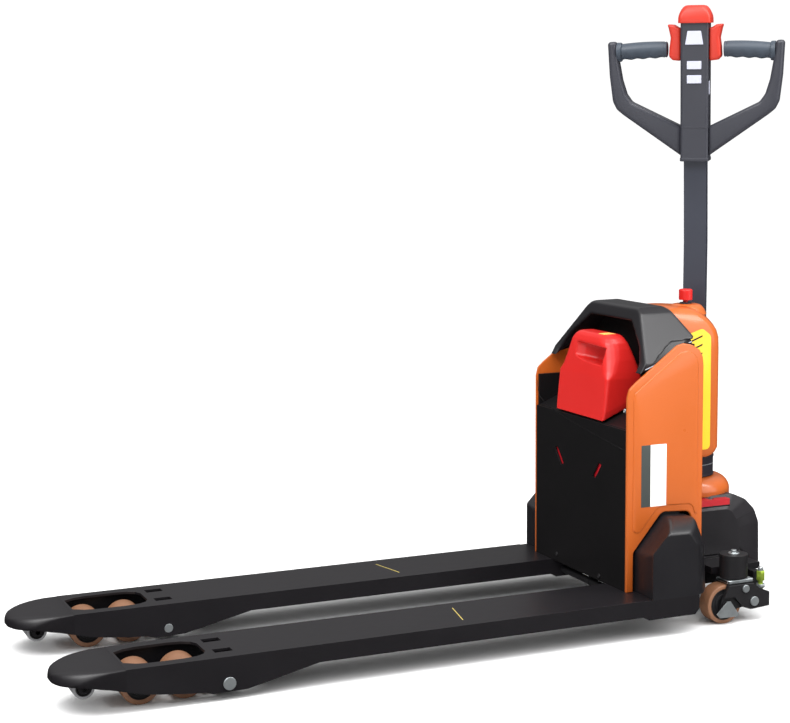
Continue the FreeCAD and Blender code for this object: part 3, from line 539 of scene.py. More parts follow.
def wheel(node, tyre, slot, radius, tread, bore, crown):
    """Tyre with rounded shoulders, and a dished hub with a raised ring, open at its bore."""
    low, high = (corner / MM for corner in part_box(node))
    centre = tuple((a + b) / 2 for a, b in zip(low, high))
    half = (high.y - low.y) / 2
    inside = radius - tread
    turns = [RIGHT_ANGLE * step / SHOULDER_STEPS for step in range(SHOULDER_STEPS + 1)]
    outside = [(radius - crown * (1 - math.cos(t)), half - crown * (1 - math.sin(t))) for t in turns]
    tread_line = [(r, -along) for r, along in outside[::-1]] + outside
    profile = [(inside, TREAD_FOOT - half)] + tread_line + [(inside, half - TREAD_FOOT)]
    lathe(node + "_tyre", profile, centre, "Y", worn(tyre, node, slot))
    dish = [(inside * share - less, half - deep) for share, less, deep in HUB_DISH]
    dish.append((bore, half - BORE_DEPTH))
    both = [(r, -along) for r, along in dish] + dish[::-1]
    hub = lathe(node + "_hub", both, centre, "Y", worn("hub_black", node, slot))
    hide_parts(node)


for side_name, side in SIDES:
    for name, *measures in WHEELS:
        wheel(name % side_name, *measures)


# ------------------------------------ forks

NOSE = 118                # length of the nose
NOSE_WALL = 4.5
NOSE_STEPS = 8
# Stations along the nose: x, half width, lower edge, top, shoulder radius.
NOSE_STATIONS = ((0, 14, 57, 67, 9), (1.2, 21, 57, 69.5, 11), (4, 31, 57, 72.5, 14), (9, 43, 57, 75.3, 17),
                 (16, 52, 57, 77.6, 19), (26, 61, 57, 79.6, 20), (40, 70, 57, 81.0, 18),
                 (55, 74.6, 55.6, 81.7, 14), (72, 78, 52, 82, 9), (90, 80, 49, 82, 5),
                 (NOSE + 0.2, 80, 41.6, 82, 2.4))
LUG_OUTLINE = ((40, 78, 1), (44, 36, 9), (66, 36, 9), (70, 78, 1))
LUG_PLACES = (-36, 36)
LUG_HALF = 2.5
MARK_HALF_LENGTH, MARK_HALF_WIDTH, MARK_SKEW = 44, 0.9, 18
MARK_BACK = {"left": 372, "right": 354}
MARK_TOP, MARK_FOOT = FORK_TOP + 0.25, FORK_TOP - 0.1


def nose_section(x, half, low, top, radius):
    """One open section of the fork's nose, from its lower edge over the top to the other."""
    rise = min(radius, top - low - 1)
    points = [(-half, low)]
    for step in range(NOSE_STEPS + 1):
        angle = RIGHT_ANGLE * step / NOSE_STEPS
        points.append((-half + radius * (1 - math.cos(angle)), top - rise * (1 - math.sin(angle))))
    points += [(-y, z) for y, z in points[::-1]]
    return [(TIP + x, y, z) for y, z in points]


def fork_blade(side_name):
    """The fork behind its nose keeps the CAD surface."""
    mesh = bpy.data.meshes.new("fork_blade_" + side_name)
    work = bmesh.new()
    work.from_mesh(frame["nodes"]["fork_" + side_name].data)
    bmesh.ops.remove_doubles(work, verts=work.verts, dist=WELD_REACH)
    bmesh.ops.bisect_plane(work, geom=work.verts[:] + work.edges[:] + work.faces[:], dist=1e-7,
                           plane_co=((TIP + NOSE) * MM, 0, 0), plane_no=(1, 0, 0), clear_inner=True)
    work.to_mesh(mesh)
    work.free()
    blade = bpy.data.objects.new("fork_blade_" + side_name, mesh)
    bpy.context.scene.collection.objects.link(blade)
    paint(smooth(blade), "chassis_black")
    edge_round(blade, 4.0, 5)
    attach(blade, "chassis")
    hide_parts("fork_" + side_name)


def fork_nose(side_name, middle):
    """The nose is one rounded pressing, open below and behind, with a lug on each side of its roller."""
    loops = [[(x, middle + y, z) for x, y, z in nose_section(*station)] for station in NOSE_STATIONS]
    nose = loft("fork_nose_" + side_name, loops, worn("chassis_black"), caps=(True, False), closed=False)
    shade(upright(nose))
    thicken(nose, NOSE_WALL)
    even_normals(nose)
    lug = [(TIP + x, z, radius) for x, z, radius in LUG_OUTLINE]
    for index, y in enumerate(LUG_PLACES):
        slab("fork_lug_%s_%d" % (side_name, index), "XZ", lug, (middle + y - LUG_HALF, middle + y + LUG_HALF),
             0.8, worn("chassis_black"), back_edge=0.8)


def fork_mark(side_name, side):
    """The slanted painted line across the fork."""
    x = FACE - MARK_BACK[side_name]
    low, high = side * (FORK_CENTRE - MARK_HALF_LENGTH), side * (FORK_CENTRE + MARK_HALF_LENGTH)
    strip = [(x - MARK_HALF_WIDTH, low), (x + MARK_HALF_WIDTH, low), (x + MARK_HALF_WIDTH - MARK_SKEW, high),
             (x - MARK_HALF_WIDTH - MARK_SKEW, high)]
    decal("fork_mark_" + side_name, "XY", strip, (MARK_TOP, MARK_FOOT),
          worn("mark_yellow", slot="chassis_black"), edge=0.05)


for side_name, side in SIDES:
    fork_blade(side_name)
    fork_nose(side_name, side * FORK_CENTRE)
for side_name, side in SIDES:
    fork_mark(side_name, side)


# ------------------------------------ front plate details

# Screws: y, z, depth behind the front face, radius, finish.
PLATE_SCREWS = ((-185, 457, 3, 4.5, "zinc"), (98, 98, -2, 5.0, "hub_black"), (-91, 91, -2, 5.0, "hub_black"))
PLATE_FOLD = ((196, 474), (190, 452), (183, 440), (150, 425), (60, 408), (-60, 392), (-150, 381), (-185, 377))
FOLD_OUT, FOLD_RADIUS = 0.1, 0.6
SHIELD = ((-120, 290), (120, 290), (120, 350), (-120, 350))
SHIELD_ENDS = (FACE + 5.5, FACE + 7.5)


def screw_head(radius):
    return [(radius, 3), (radius, 0.8), (radius - 0.8, 0), (2, 0), (1.6, 0.9), (0.2, 1)]


for index, (y, z, depth, radius, material) in enumerate(PLATE_SCREWS):
    lathe("plate_screw_%d" % index, screw_head(radius), (FACE + depth, y, z), "X",
          worn(material, slot="chassis_black"), segments=24, ring=False)
slab("pack_shield", "YZ", SHIELD, SHIELD_ENDS, 0.4, worn("red_paint"), back_edge=0.3)
fold = [(FACE - FOLD_OUT, y, z) for y, z in PLATE_FOLD]
tube("plate_fold", fold, FOLD_RADIUS, worn("plate_black", slot="chassis_black"))


# ------------------------------------ side panels and the cover's skirt

PANEL_RIM = ((0, 81, 1), (16, 81, 1), (16, 163, 10), (84, 243.5, 20), (151, 239, 14), (172, 178, 12),
             (174, 81, 1), (182, 81, 1), (182, 544, 4), (180, 562, 10), (172, 577, 12), (154, 588, 12),
             (134, 592, 10), (118, 588, 12), (20, 516, 16), (5, 503, 12), (0, 484, 8))
PANEL_FIELD = ((13, 184, 12), (76, 257, 18), (156, 254, 14), (169, 215, 10), (169, 544, 4), (167, 558, 8),
               (159, 569, 10), (142, 577, 10), (124, 574, 12), (27, 503, 12), (16, 494, 8), (13, 480, 6))
# Outer and inner face of each layer, measured outwards from the panel.
PANEL_ENDS, FIELD_ENDS, LABEL_ENDS = (0, -7), (2.0, -1.4), (2.25, 1.8)
# The side label's two fields: name, front and rear edge, finish.
PANEL_LABELS = (("dark", (32, 54), "label_dark"), ("pale", (54, 92), "label_white"))
LABEL_LOW, LABEL_HIGH = 257, 386
# The cover's lower edge, and how far its skirt hangs down at each of these places.
COVER_EDGE = ((39, 539), (47, 549), (66, 561), (85, 572), (104, 582), (122, 591), (140, 594), (160, 596),
              (179, 597))
SKIRT_DROPS = (6, 16, 24, 30, 31, 30, 27, 22, 16)
SKIRT_SHARES = (0.0, 0.35, 0.7, 1.0)
SKIRT_LIFT, SKIRT_FLARE, SKIRT_INSIDE, SKIRT_SUNK, SKIRT_WALL = 3, 0.62, 9.5, 0.8, 2
# The painted highlight bead: the skirt row it follows, how far out it stands, and its radius.
HIGHLIGHT_ROW, HIGHLIGHT_OUT, HIGHLIGHT_RADIUS = 2, 0.4, 1.2
RAY_START, FLANK_GUESS = 400, 175


def on_cover(x, z, side):
    """The spot on the top cover's flank at this length and height."""
    cover = frame["nodes"]["top_cover"]
    back = cover.matrix_world.inverted()
    start = back @ (Vector((x, side * RAY_START, z)) * MM)
    drawn = cover.evaluated_get(bpy.context.evaluated_depsgraph_get())
    hit, spot = drawn.ray_cast(start, back.to_3x3() @ Vector((0, -side, 0)))[:2]
    flank = (cover.matrix_world @ spot) / MM if hit else Vector((x, side * FLANK_GUESS, z))
    return x, flank.y, z


def layer(ends, side):
    return [side * (PANEL_OUT + end) for end in ends]


def side_panel(side_name, side):
    """An orange panel with its raised field and the blank label on it."""
    panel = slab("panel_" + side_name, "XZ", from_face(PANEL_RIM), layer(PANEL_ENDS, side), 2.6,
                 worn("body_orange"))
    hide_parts("side_panel_" + side_name)
    slab("panel_face_" + side_name, "XZ", from_face(PANEL_FIELD), layer(FIELD_ENDS, side), 3.2,
         worn("body_orange"), back_edge=0.2)
    for part, (front, rear), material in PANEL_LABELS:
        label = from_face([(front, LABEL_LOW), (rear, LABEL_LOW), (rear, LABEL_HIGH), (front, LABEL_HIGH)])
        decal("panel_label_%s_%s" % (part, side_name), "XZ", label, layer(LABEL_ENDS, side),
              worn(material, slot="body_orange"), edge=0.08)


def cover_skirt(side_name, side):
    """The cover's lower border, from its flank outwards and down, with a painted highlight along it: a pale
    grey bead.
    """
    upper = [on_cover(x, z + SKIRT_LIFT, side) for x, z in from_face(COVER_EDGE)]
    rows = []
    for share in SKIRT_SHARES:
        row = []
        for (x, y, z), drop in zip(upper, SKIRT_DROPS):
            out = min(abs(y) + SKIRT_FLARE * drop * share, PANEL_OUT - SKIRT_INSIDE)
            row.append((x, side * (out - SKIRT_SUNK), z - drop * share))
        rows.append(row)
    skirt = loft("cover_skirt_" + side_name, rows, worn("cover_black"), caps=(False, False), closed=False)
    if skirt.data.polygons[0].normal.y * side < 0:
        skirt.data.flip_normals()
    thicken(skirt, SKIRT_WALL)
    # A pale grey bead along the skirt paints the highlight on the cover's lower edge.
    highlight_bead = [(x, y + side * HIGHLIGHT_OUT, z) for x, y, z in rows[HIGHLIGHT_ROW]]
    tube("cover_painted_highlight_" + side_name, highlight_bead, HIGHLIGHT_RADIUS, worn("painted_highlight_grey", slot="cover_black"))


for side_name, side in SIDES:
    side_panel(side_name, side)
    cover_skirt(side_name, side)


# ------------------------------------ heel covers

HEEL_BOX = [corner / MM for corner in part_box("heel_cover_right")]
HEEL_IN, HEEL_OUT, HEEL_FOOT = HEEL_BOX[0].y, HEEL_BOX[1].y, HEEL_BOX[0].z
HEEL_ROOT = ((22, HEEL_FOOT, 1), (22, 165, 14), (86, 237, 18), (147, 233, 16), (170, 175, 14),
             (174, HEEL_FOOT, 1))
HEEL_FACE = ((18, HEEL_FOOT, 1), (18, 176, 12), (52, 211, 14), (105, 210, 12), (122, 187, 12),
             (127, HEEL_FOOT, 1))
# From root to face: share of the way between the two outlines, and share of the depth.
HEEL_LEVELS = ((0.0, 0.0), (0.0, 0.36), (0.08, 0.48), (0.22, 0.62), (0.42, 0.77), (0.62, 0.885), (0.8, 0.955),
               (0.92, 0.99), (1.0, 1.0))


def heel_cover(side_name, side):
    levels = []
    for share, deep in HEEL_LEVELS:
        y = side * (HEEL_IN + (HEEL_OUT - HEEL_IN) * deep)
        outlines = zip(HEEL_ROOT, HEEL_FACE)
        level = [tuple(p + (q - p) * share for p, q in zip(root, face)) for root, face in outlines]
        levels.append([(x, y, z) for x, z in arcs(from_face(level))])
    heel = shade(flat_ends(loft("heel_shell_" + side_name, levels, worn("cover_black"))), HEEL_CREASE)
    even_normals(heel)
    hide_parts("heel_cover_" + side_name)


for side_name, side in SIDES:
    heel_cover(side_name, side)


# ------------------------------------ column

COLUMN_HALF = 90
COLUMN_WALL = 3
# Levels up the column: height, front, rear, half width.
COLUMN_LEVELS = ((324, 173, 311, 84), (327, 173, 318, 86.5), (333, 173, 325, 88.5), (344, 173, 331, 90),
                 (560, 173, 331, 90), (584, 173, 330, 90), (600, 173, 325, 89), (613, 173, 317, 86.5),
                 (624, 173, 306, 82.5), (634, 174, 294, 77), (642, 178, 282, 70.5), (647, 184, 272, 64),
                 (650, 192, 262, 56))
COLLAR = [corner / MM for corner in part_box("estop_collar")]
COLLAR_X = (COLLAR[0].x + COLLAR[1].x) / 2
BOSS_PROFILE = ((14.2, 630), (46, 630), (41, 641), (36, 647.5), (31, 650.6), (25, 652), (14.2, 652))
BAY_WALL = ((-172, 470, 2), (172, 470, 2), (172, 548, 8), (150, 586, 8), (90, 634, 8), (-90, 634, 8),
            (-150, 586, 8), (-172, 548, 8))
BAY_WALL_ENDS = (FACE + 122, FACE + 126)
STICKER = ((199, 342, 8), (274, 342, 10), (274, 590, 14), (252, 606, 12), (199, 590, 6))
STICKER_ENDS, BAR_ENDS = (90.35, 89.7), (90.6, 90.2)
# The sticker's dark bars: how many, the highest one, and each one's rear end, slope and edges.
BAR_COUNT, BAR_TOP, BAR_PITCH = 6, 591, 18.7
BAR_REAR, BAR_LONG, BAR_SHORT = 252, 40, 20
BAR_SLOPE, BAR_UNDER, BAR_OVER = 0.38, 2.6, 1


def column_loop(z, front, rear, half):
    """One level of the column, flat in front and rounded behind."""
    squeeze = half / COLUMN_HALF
    corners = [(front, -half, 5), (rear - 35, -half, 30), (rear - 19, -58 * squeeze, 30),
               (rear - 2, -26 * squeeze, 24), (rear - 2, 26 * squeeze, 24), (rear - 19, 58 * squeeze, 30),
               (rear - 35, half, 30), (front, half, 5)]
    return [(x, y, z) for x, y in arcs(from_face(corners), 4)]


def column_label(side_name, side):
    """The blank yellow sticker with its slanted bars."""
    decal("column_label_" + side_name, "XZ", from_face(STICKER), [side * end for end in STICKER_ENDS],
          worn("label_yellow", slot="body_orange"))
    for index in range(BAR_COUNT):
        z = BAR_TOP - BAR_PITCH * index
        length = BAR_LONG if index == 0 else BAR_SHORT
        fall = BAR_SLOPE * length
        bar = from_face([(BAR_REAR - length, z - fall - BAR_UNDER), (BAR_REAR, z - BAR_UNDER),
                         (BAR_REAR, z + BAR_OVER), (BAR_REAR - length, z - fall + BAR_OVER)])
        decal("column_bar_%s_%d" % (side_name, index), "XZ", bar, [side * end for end in BAR_ENDS],
              worn("label_ink", slot="body_orange"))


column_loops = [column_loop(*level) for level in COLUMN_LEVELS]
column = upright(loft("column_shell", column_loops, worn("body_orange"), caps=(False, True)))
thicken(column, COLUMN_WALL)
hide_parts("column_cover")
lathe("column_boss", BOSS_PROFILE, (COLLAR_X, 0, 0), "Z", worn("body_orange"))
slab("bay_wall", "YZ", BAY_WALL, BAY_WALL_ENDS, 1.0, worn("plate_black", slot="cover_black"))
for side_name, side in SIDES:
    column_label(side_name, side)


# ------------------------------------ battery

TRAY_SLOPE = 45.4 / 107
# Levels of the case: height, front, rear, half width, front radius, and on the tray also the rear radius
# and the share of the tray's slope.
BATTERY_LEVELS = ((423, -1, 106, 103, 4, 4, 1.0), (440, 1, 103.5, 105.5, 5, 5, 0.9), (511, 7, 94, 106, 9),
                  (524, 9, 91, 104, 22), (548, 12, 84, 98, 30), (570, 15, 78, 89.5, 30),
                  (583, 17, 74, 83, 28), (592, 21, 71, 74, 24), (598, 26, 68, 65, 20), (600, 32, 64, 57, 16))
# Sections of the hand recess: y, depth behind the front face, floor, roof.
POCKET_SECTIONS = ((-76, 50, 538, 571), (-66, 56, 538, 571), (0, 46, 541, 574), (28, 28, 546, 576),
                   (40, 14, 550, 577))
POCKET_MOUTH = 12         # how far the cutter stands out of the case
BATTERY_VOXEL, BATTERY_PASSES = 1.6, 5
BATTERY_LABEL = ((30, -30), (58, -24), (58, -54), (30, -54))
BATTERY_LABEL_ENDS = (600.4, 599.6)


def battery_loop(z, front, rear, half, corner, rear_corner=8, slope=0.0):
    """One level of the case; the lowest ones follow the sloped tray."""
    spots = arcs(from_face([(front, -half, corner), (rear, -half, rear_corner), (rear, half, rear_corner),
                            (front, half, corner)]))
    return [(x, y, z + (x - FACE - front) * TRAY_SLOPE * slope) for x, y in spots]


def pocket_loop(y, deep, low, high):
    corners = from_face([(-POCKET_MOUTH, low, 2), (deep, low - 2, 9), (deep + 5, high, 9),
                         (-POCKET_MOUTH, high + 6, 2)])
    return [(x, y, z) for x, z in arcs(corners)]


def carve(obj, cutter):
    """Take the cutter's shape out of an object's mesh for good."""
    cut = modifier(obj, "BOOLEAN", operation="DIFFERENCE", solver="EXACT")
    cut.object = cutter
    bpy.context.view_layer.update()
    carved = bpy.data.meshes.new_from_object(obj.evaluated_get(bpy.context.evaluated_depsgraph_get()))
    obj.modifiers.clear()
    obj.data = carved
    bpy.data.objects.remove(cutter)


battery = loft("battery_shell", [battery_loop(*level) for level in BATTERY_LEVELS],
               worn(("signal_red", "pocket_shaded_red"), "battery", "signal_red"))
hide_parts("battery_case")
# The cutter carries the darker red onto the recess's cut faces: painted shade inside the hand recess.
carve(battery, loft("pocket_cutter", [pocket_loop(*section) for section in POCKET_SECTIONS],
                    worn("pocket_shaded_red", "battery", "signal_red")))
moulded(battery, BATTERY_VOXEL, BATTERY_PASSES)
decal("battery_label", "XY", from_face(BATTERY_LABEL), BATTERY_LABEL_ENDS,
      worn("label_cream", "battery", "signal_red"))


# ------------------------------------ drive hood

HOOD_OUTLINE = ((-68, 118, 1), (-68, 224, 1), (7, 240, 30), (60, 241, 30), (94, 226, 30), (118, 202, 30),
                (130, 172, 30), (132, 75, 6), (74, 75, 6), (66, 118, 6))
HOOD_CHEEK = ((-68, 118, 1), (-68, 214, 1), (-20, 214, 4), (30, 214, 14), (42, 208, 14), (54, 190, 14),
              (61, 172, 12), (64, 128, 2), (62, 121, 1), (59, 118, 1))
HOOD_SECTIONS = ((HOOD_CHEEK, -125), (HOOD_OUTLINE, -98), (HOOD_OUTLINE, 98), (HOOD_CHEEK, 125))
HOOD_STEPS = 4
HOOD_EDGE, HOOD_EDGE_ANGLE, HOOD_WALL = 7, 24, 3


def hood_loop(corners, y):
    return [(x, y, z) for x, z in arcs([(AXIS + x, z, radius) for x, z, radius in corners], HOOD_STEPS)]


def hood_faces(count):
    """Front and underside stay open; the rear foot's inner face is closed beside the middle only."""
    per_corner = HOOD_STEPS + 1
    runs = [(row, range(per_corner, 8 * per_corner)) for row in (0, 1, 2)]
    runs += [(row, range(8 * per_corner, count - 1)) for row in (0, 2)]
    starts = [row * count + i for row, run in runs for i in run]
    ends = [tuple(range(count)), tuple(range(3 * count, 4 * count))]
    return [(a, a + 1, a + 1 + count, a + count) for a in starts] + ends


hood_rows = [hood_loop(corners, y) for corners, y in HOOD_SECTIONS]
hood = upright(new_object("hood_shell", [p for row in hood_rows for p in row], hood_faces(len(hood_rows[0])),
                          worn("hood_black", "base", "cover_black")))
modifier(hood, "BEVEL", width=HOOD_EDGE * MM, segments=5, limit_method="ANGLE",
         angle_limit=math.radians(HOOD_EDGE_ANGLE))
thicken(hood, HOOD_WALL)
even_normals(hood)
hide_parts("drive_hood")


# ------------------------------------ lift cylinder, castor seats, level bolts

CYLINDER_FOOT = (AXIS, 0, 0)
RIB_HEIGHTS = (277, 317)
RIB_PROFILE = ((61.5, -2), (63.2, -1.6), (63.6, 0), (63.2, 1.6), (61.5, 2))
BAND_PROFILE = ((61.9, 300), (62.5, 300.4), (62.5, 301.6), (61.9, 302))
SEAT_CORNERS = ((-47, -23.4), (17, -23.4), (17, 23.4), (-47, 23.4))
SEAT_ENDS = (91, 84.5)
LEVEL_X, LEVEL_Y = AXIS + 40, 239
# A levelling bolt's parts: name, finish, number of sides, profile.
LEVEL_PARTS = (
    ("cap", "zinc", 28, ((0.3, 111), (4, 111), (5.6, 109.5), (6, 106), (6, 103), (0.3, 103))),
    ("nut", "yellow_zinc", 6, ((0.3, 103), (8.6, 103), (9.4, 101.5), (9.4, 84), (8.6, 82.5), (0.3, 82.5))),
    ("stud", "yellow_zinc", 28, ((0.3, 83), (5.4, 83), (5.4, 74), (0.3, 74))),
    ("washer", "zinc", 6, ((0.3, 75), (10, 75), (10.4, 74), (10.4, 69), (9, 67), (0.3, 67))),
    ("foot", "yellow_zinc", 28, ((0.3, 68), (5.6, 68), (5.6, 60.4), (0.3, 60.4))),
)


def castor_seat(side_name, side):
    corners = [(AXIS + a, side * CASTOR_Y + b, 5) for a, b in SEAT_CORNERS]
    slab("castor_seat_" + side_name, "XY", corners, SEAT_ENDS, 1.2, worn("zinc", "castor_arm_" + side_name))


def level_bolt(side_name, side):
    for part, material, segments, profile in LEVEL_PARTS:
        made = lathe("level_%s_%s" % (part, side_name), profile, (LEVEL_X, side * LEVEL_Y, 0), "Z",
                     worn(material, "base", "yellow_zinc"), segments=segments, ring=False)
        if side > 0 and part == "nut":
            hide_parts("level_bolts")


for index, z in enumerate(RIB_HEIGHTS):
    lathe("cylinder_rib_%d" % index, [(radius, z + rise) for radius, rise in RIB_PROFILE], CYLINDER_FOOT, "Z",
          worn("cylinder_black", "steering"))
lathe("cylinder_band", BAND_PROFILE, CYLINDER_FOOT, "Z", worn("zinc", "steering", "cylinder_black"))
for side_name, side in SIDES:
    castor_seat(side_name, side)
for side_name, side in SIDES:
    level_bolt(side_name, side)


# ------------------------------------ handle

GRIP_X, GRIP_Z, GRIP_LOW, GRIP_HIGH = 132, 1211, 63, 172
GRIP_STEPS, GRIP_SIDES = 60, 32
GRIP_RADIUS, GRIP_SWELL, GRIP_LIFT, GRIP_DROOP = 17.6, 1.0, 0.6, 5.0
# Steps along the grip where its radius drops: the end rings, and a groove beside each.
GRIP_DROPS = {0: 2.0, 2: 0.8, 3: 0.8, GRIP_STEPS - 3: 0.8, GRIP_STEPS - 2: 0.8, GRIP_STEPS: 2.0}
SCALLOP_DEPTH, SCALLOP_COUNT, SCALLOP_RANGE = 1.1, 4, (0.08, 0.92)
WING_OUTLINE = ((31.7, 1186, 4), (50, 1188, 6), (58, 1196, 8), (57, 1216, 14), (54, 1237, 18), (59, 1259, 6),
                (62, 1267, 3), (48, 1266, 8), (38, 1260, 6), (31.7, 1258, 2))
ARM_OUTLINE = ((31, 976, 1), (160, 1066, 12), (176, 1079, 20), (185, 1097, 24), (192, 1155, 60),
               (196, 1230, 7), (178, 1230, 7), (172, 1185, 50), (165, 1145, 30), (155, 1113, 22),
               (143, 1096, 20), (31, 1042, 1))
HANDLE_ENDS = (GRIP_X - 20, GRIP_X + 20)
WING_EDGE, ARM_EDGE = 6.5, 8.4
FLANGE_PROFILE = ((12, 166), (20.5, 166), (21.5, 168), (21.5, 176), (12, 176))
FLANGE_DROP = 4.4


def grip_ring(step, side):
    """One ring of a grip, with finger scallops underneath."""
    t = step / GRIP_STEPS
    y = side * (GRIP_LOW + (GRIP_HIGH - GRIP_LOW) * t)
    z = GRIP_Z + GRIP_LIFT - GRIP_DROOP * t * t
    swell = GRIP_RADIUS + GRIP_SWELL * math.sin(math.pi * t) - GRIP_DROPS.get(step, 0.0)
    wave = math.cos(FULL_TURN * SCALLOP_COUNT * t) if SCALLOP_RANGE[0] < t < SCALLOP_RANGE[1] else 0.0
    ring = []
    for k in range(GRIP_SIDES):
        angle = FULL_TURN * k / GRIP_SIDES
        radius = swell + SCALLOP_DEPTH * max(0.0, -math.sin(angle)) * wave
        ring.append((GRIP_X + radius * math.cos(angle), y, z + radius * math.sin(angle)))
    return ring


def mirrored(outline, side):
    return [(side * y, z, radius) for y, z, radius in outline]


def handle_side(side_name, side):
    """A throttle wing, a handle arm and the flange at the grip's outer end."""
    wing = slab("wing_" + side_name, "YZ", mirrored(WING_OUTLINE, side), HANDLE_ENDS, WING_EDGE,
                worn("switch_red", "throttle", "signal_red"), place=LEANT, back_edge=WING_EDGE)
    arm = slab("handle_arm_" + side_name, "YZ", mirrored(ARM_OUTLINE, side), HANDLE_ENDS, ARM_EDGE,
               worn("handle_black", "tiller", "cover_black"), place=LEANT, back_edge=ARM_EDGE, steps=6)
    if side > 0:
        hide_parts("throttle_wings")
        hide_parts("handle_loop")
    lathe("grip_flange_" + side_name, [(radius, side * along) for radius, along in FLANGE_PROFILE],
          (GRIP_X, 0, GRIP_Z - FLANGE_DROP), "Y", worn("grip_rubber", "tiller"), place=LEANT)


for side_name, side in SIDES:
    rings = [grip_ring(step, side) for step in range(GRIP_STEPS + 1)]
    grip = loft("grip_" + side_name, rings, worn("grip_rubber", "tiller"), place=LEANT)
    if side > 0:
        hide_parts("handle_grips")
for side_name, side in SIDES:
    handle_side(side_name, side)


# ------------------------------------ belly cap and tiller head

# Levels of the cap: height, front, rear, half width, corner radius.
CAP_LEVELS = ((1269, 99, 165, 36, 7), (1271, 98.6, 165.4, 36.3, 8), (1280, 99, 165, 36.2, 9),
              (1286, 100, 164, 35.4, 10), (1293, 101.5, 162.5, 33, 12), (1299, 103.5, 160.5, 30, 13),
              (1304, 107, 157, 26.5, 13), (1307, 111, 153, 22.5, 12), (1308.2, 116, 148, 17, 9))
CAP_WALL = 1.4
HEAD_SLOT = ((117, 1112, 3), (138, 1112, 3), (138, 1142, 3), (117, 1142, 3))
HEAD_COLLAR = ((103.4, -31.6, 6), (160.6, -31.6, 6), (160.6, 31.6, 6), (103.4, 31.6, 6))
HEAD_FOOT = ((103.2, -32, 6), (160.8, -32, 6), (160.8, 32, 6), (103.2, 32, 6))


def cap_loop(z, front, rear, half, radius):
    corners = [(front, -half, radius), (rear, -half, radius), (rear, half, radius), (front, half, radius)]
    return [(x, y, z) for x, y in arcs(corners)]


cap_loops = [cap_loop(*level) for level in CAP_LEVELS]
cap = loft("belly_cap", cap_loops, worn("switch_red", "belly", "signal_red"), caps=(False, True), place=LEANT)
shade(upright(cap))
thicken(cap, CAP_WALL)
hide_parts("belly_button")
decal("head_slot", "XZ", HEAD_SLOT, (-31.45, -30.8), worn("key_white", "tiller"), edge=0.2, place=LEANT)
for name, corners, ends, edge in (("head_collar", HEAD_COLLAR, (1041, 1038.6), 0.5),
                                  ("head_foot", HEAD_FOOT, (972, 964.5), 1.0)):
    slab(name, "XY", corners, ends, edge, worn("handle_black", "tiller", "cover_black"), place=LEANT,
         back_edge=edge)


# ------------------------------------ floor and light

WHITE = (1.0, 1.0, 1.0, 1.0)
FLOOR_REACH = 60.0        # metres
BACKDROP_STRENGTH = 1.05
ROOM_LIGHT = (("From Min", 0.0), ("From Max", 1.0), ("To Min", 0.04), ("To Max", 1.0))
# Lights, in metres: name, kind, place, target, power, size (for the sun its angle).
LIGHTS = (
    ("key", "SUN", (-2.2, -2.6, 5.0), (0, 0, 0), 2.1, math.radians(50)),
    ("overhead", "AREA", (-2.3, -0.9, 3.2), (0.2, 0, 0.4), 70, (1.8, 1.8)),
    ("right", "AREA", (2.6, -2.9, 1.6), (0.4, 0, 0.5), 58, (2.8, 2.6)),
    ("edge", "AREA", (1.6, -1.1, 3.0), (0.1, -0.2, 0.1), 62, (0.8, 2.6)),
    ("front", "AREA", (-2.8, -2.9, 1.1), (0.2, 0, 0.5), 22, (2.0, 1.8)),
)


def light(name, kind, place, target, power, size):
    data = bpy.data.lights.new(name, kind)
    data.energy = power
    if kind == "SUN":
        data.angle = size
    else:
        data.shape = "RECTANGLE"
        data.size, data.size_y = size
    obj = bpy.data.objects.new(name, data)
    bpy.context.scene.collection.objects.link(obj)
    obj.location = place
    obj.rotation_euler = (Vector(target) - Vector(place)).to_track_quat("-Z", "Y").to_euler()


def floor():
    """A wide, matt, nearly white ground that polished parts don't mirror."""
    mesh = bpy.data.meshes.new("floor")
    corners = [(x * FLOOR_REACH, y * FLOOR_REACH, 0) for x, y in ((-1, -1), (1, -1), (1, 1), (-1, 1))]
    mesh.from_pydata(corners, [], [(0, 1, 2, 3)])
    obj = bpy.data.objects.new("floor", mesh)
    bpy.context.scene.collection.objects.link(obj)
    n = Nodes("floor_white")
    cloud = n.noise(0.8, 2.0)
    n.link(n.blend(cloud, (0.88, 0.88, 0.88, 1), (0.9, 0.9, 0.9, 1)), n.shader.inputs["Base Color"])
    n.link(n.spread(cloud, 0.85, 0.95), n.shader.inputs["Roughness"])
    n.shader.inputs["Specular IOR Level"].default_value = 0.1
    mesh.materials.append(n.material)
    obj.visible_glossy = False


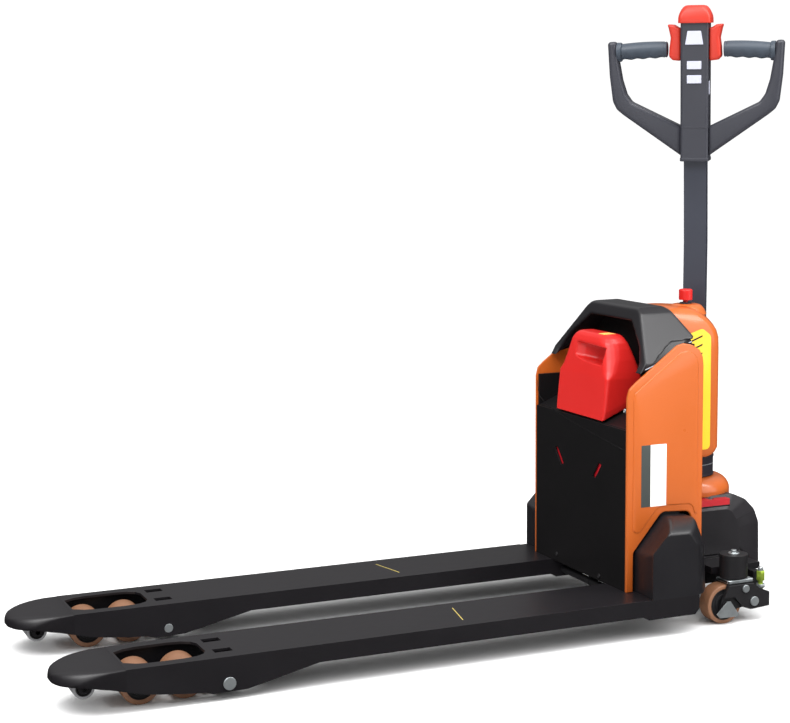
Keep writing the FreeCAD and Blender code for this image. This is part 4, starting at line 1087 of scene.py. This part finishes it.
def studio():
    """A room whose light grows with height; the camera itself sees plain white."""
    world = bpy.data.worlds.new("studio")
    world.use_nodes = True
    tree = world.node_tree
    room = tree.nodes["Background"]
    room.inputs["Color"].default_value = WHITE
    spot = tree.nodes.new("ShaderNodeTexCoord")
    direction = tree.nodes.new("ShaderNodeSeparateXYZ")
    height = tree.nodes.new("ShaderNodeMapRange")
    height.interpolation_type = "SMOOTHSTEP"
    for socket, number in ROOM_LIGHT:
        height.inputs[socket].default_value = number
    white = tree.nodes.new("ShaderNodeBackground")
    white.inputs["Color"].default_value = WHITE
    white.inputs["Strength"].default_value = BACKDROP_STRENGTH
    seen = tree.nodes.new("ShaderNodeLightPath")
    mixed = tree.nodes.new("ShaderNodeMixShader")
    tree.links.new(spot.outputs["Generated"], direction.inputs["Vector"])
    tree.links.new(direction.outputs["Z"], height.inputs["Value"])
    tree.links.new(height.outputs["Result"], room.inputs["Strength"])
    tree.links.new(seen.outputs["Is Camera Ray"], mixed.inputs["Fac"])
    tree.links.new(room.outputs["Background"], mixed.inputs[1])
    tree.links.new(white.outputs["Background"], mixed.inputs[2])
    tree.links.new(mixed.outputs["Shader"], tree.nodes["World Output"].inputs["Surface"])
    bpy.context.scene.world = world


floor()
studio()
for name, *settings in LIGHTS:
    light(name, *settings)


# ------------------------------------ camera

# The photograph's viewpoint: a long lens from the front left, with a small shift for its framing.
CAMERA_PLACE = (FACE * MM - 1.8102, -3.2792, 1.0164)
CAMERA_HEADING, CAMERA_PITCH = math.radians(64.19), math.radians(-5.73)
CAMERA_SETTINGS = {"lens": 80.35, "sensor_width": 36.0, "shift_x": -0.1139, "shift_y": -0.0606}

camera_data = bpy.data.cameras.new("camera")
for setting, value in CAMERA_SETTINGS.items():
    setattr(camera_data, setting, value)
camera = bpy.data.objects.new("camera", camera_data)
bpy.context.scene.collection.objects.link(camera)
camera.location = CAMERA_PLACE
camera.rotation_euler = (RIGHT_ANGLE + CAMERA_PITCH, 0, CAMERA_HEADING - RIGHT_ANGLE)
bpy.context.scene.camera = camera
bpy.context.scene.view_settings.view_transform = "Standard"
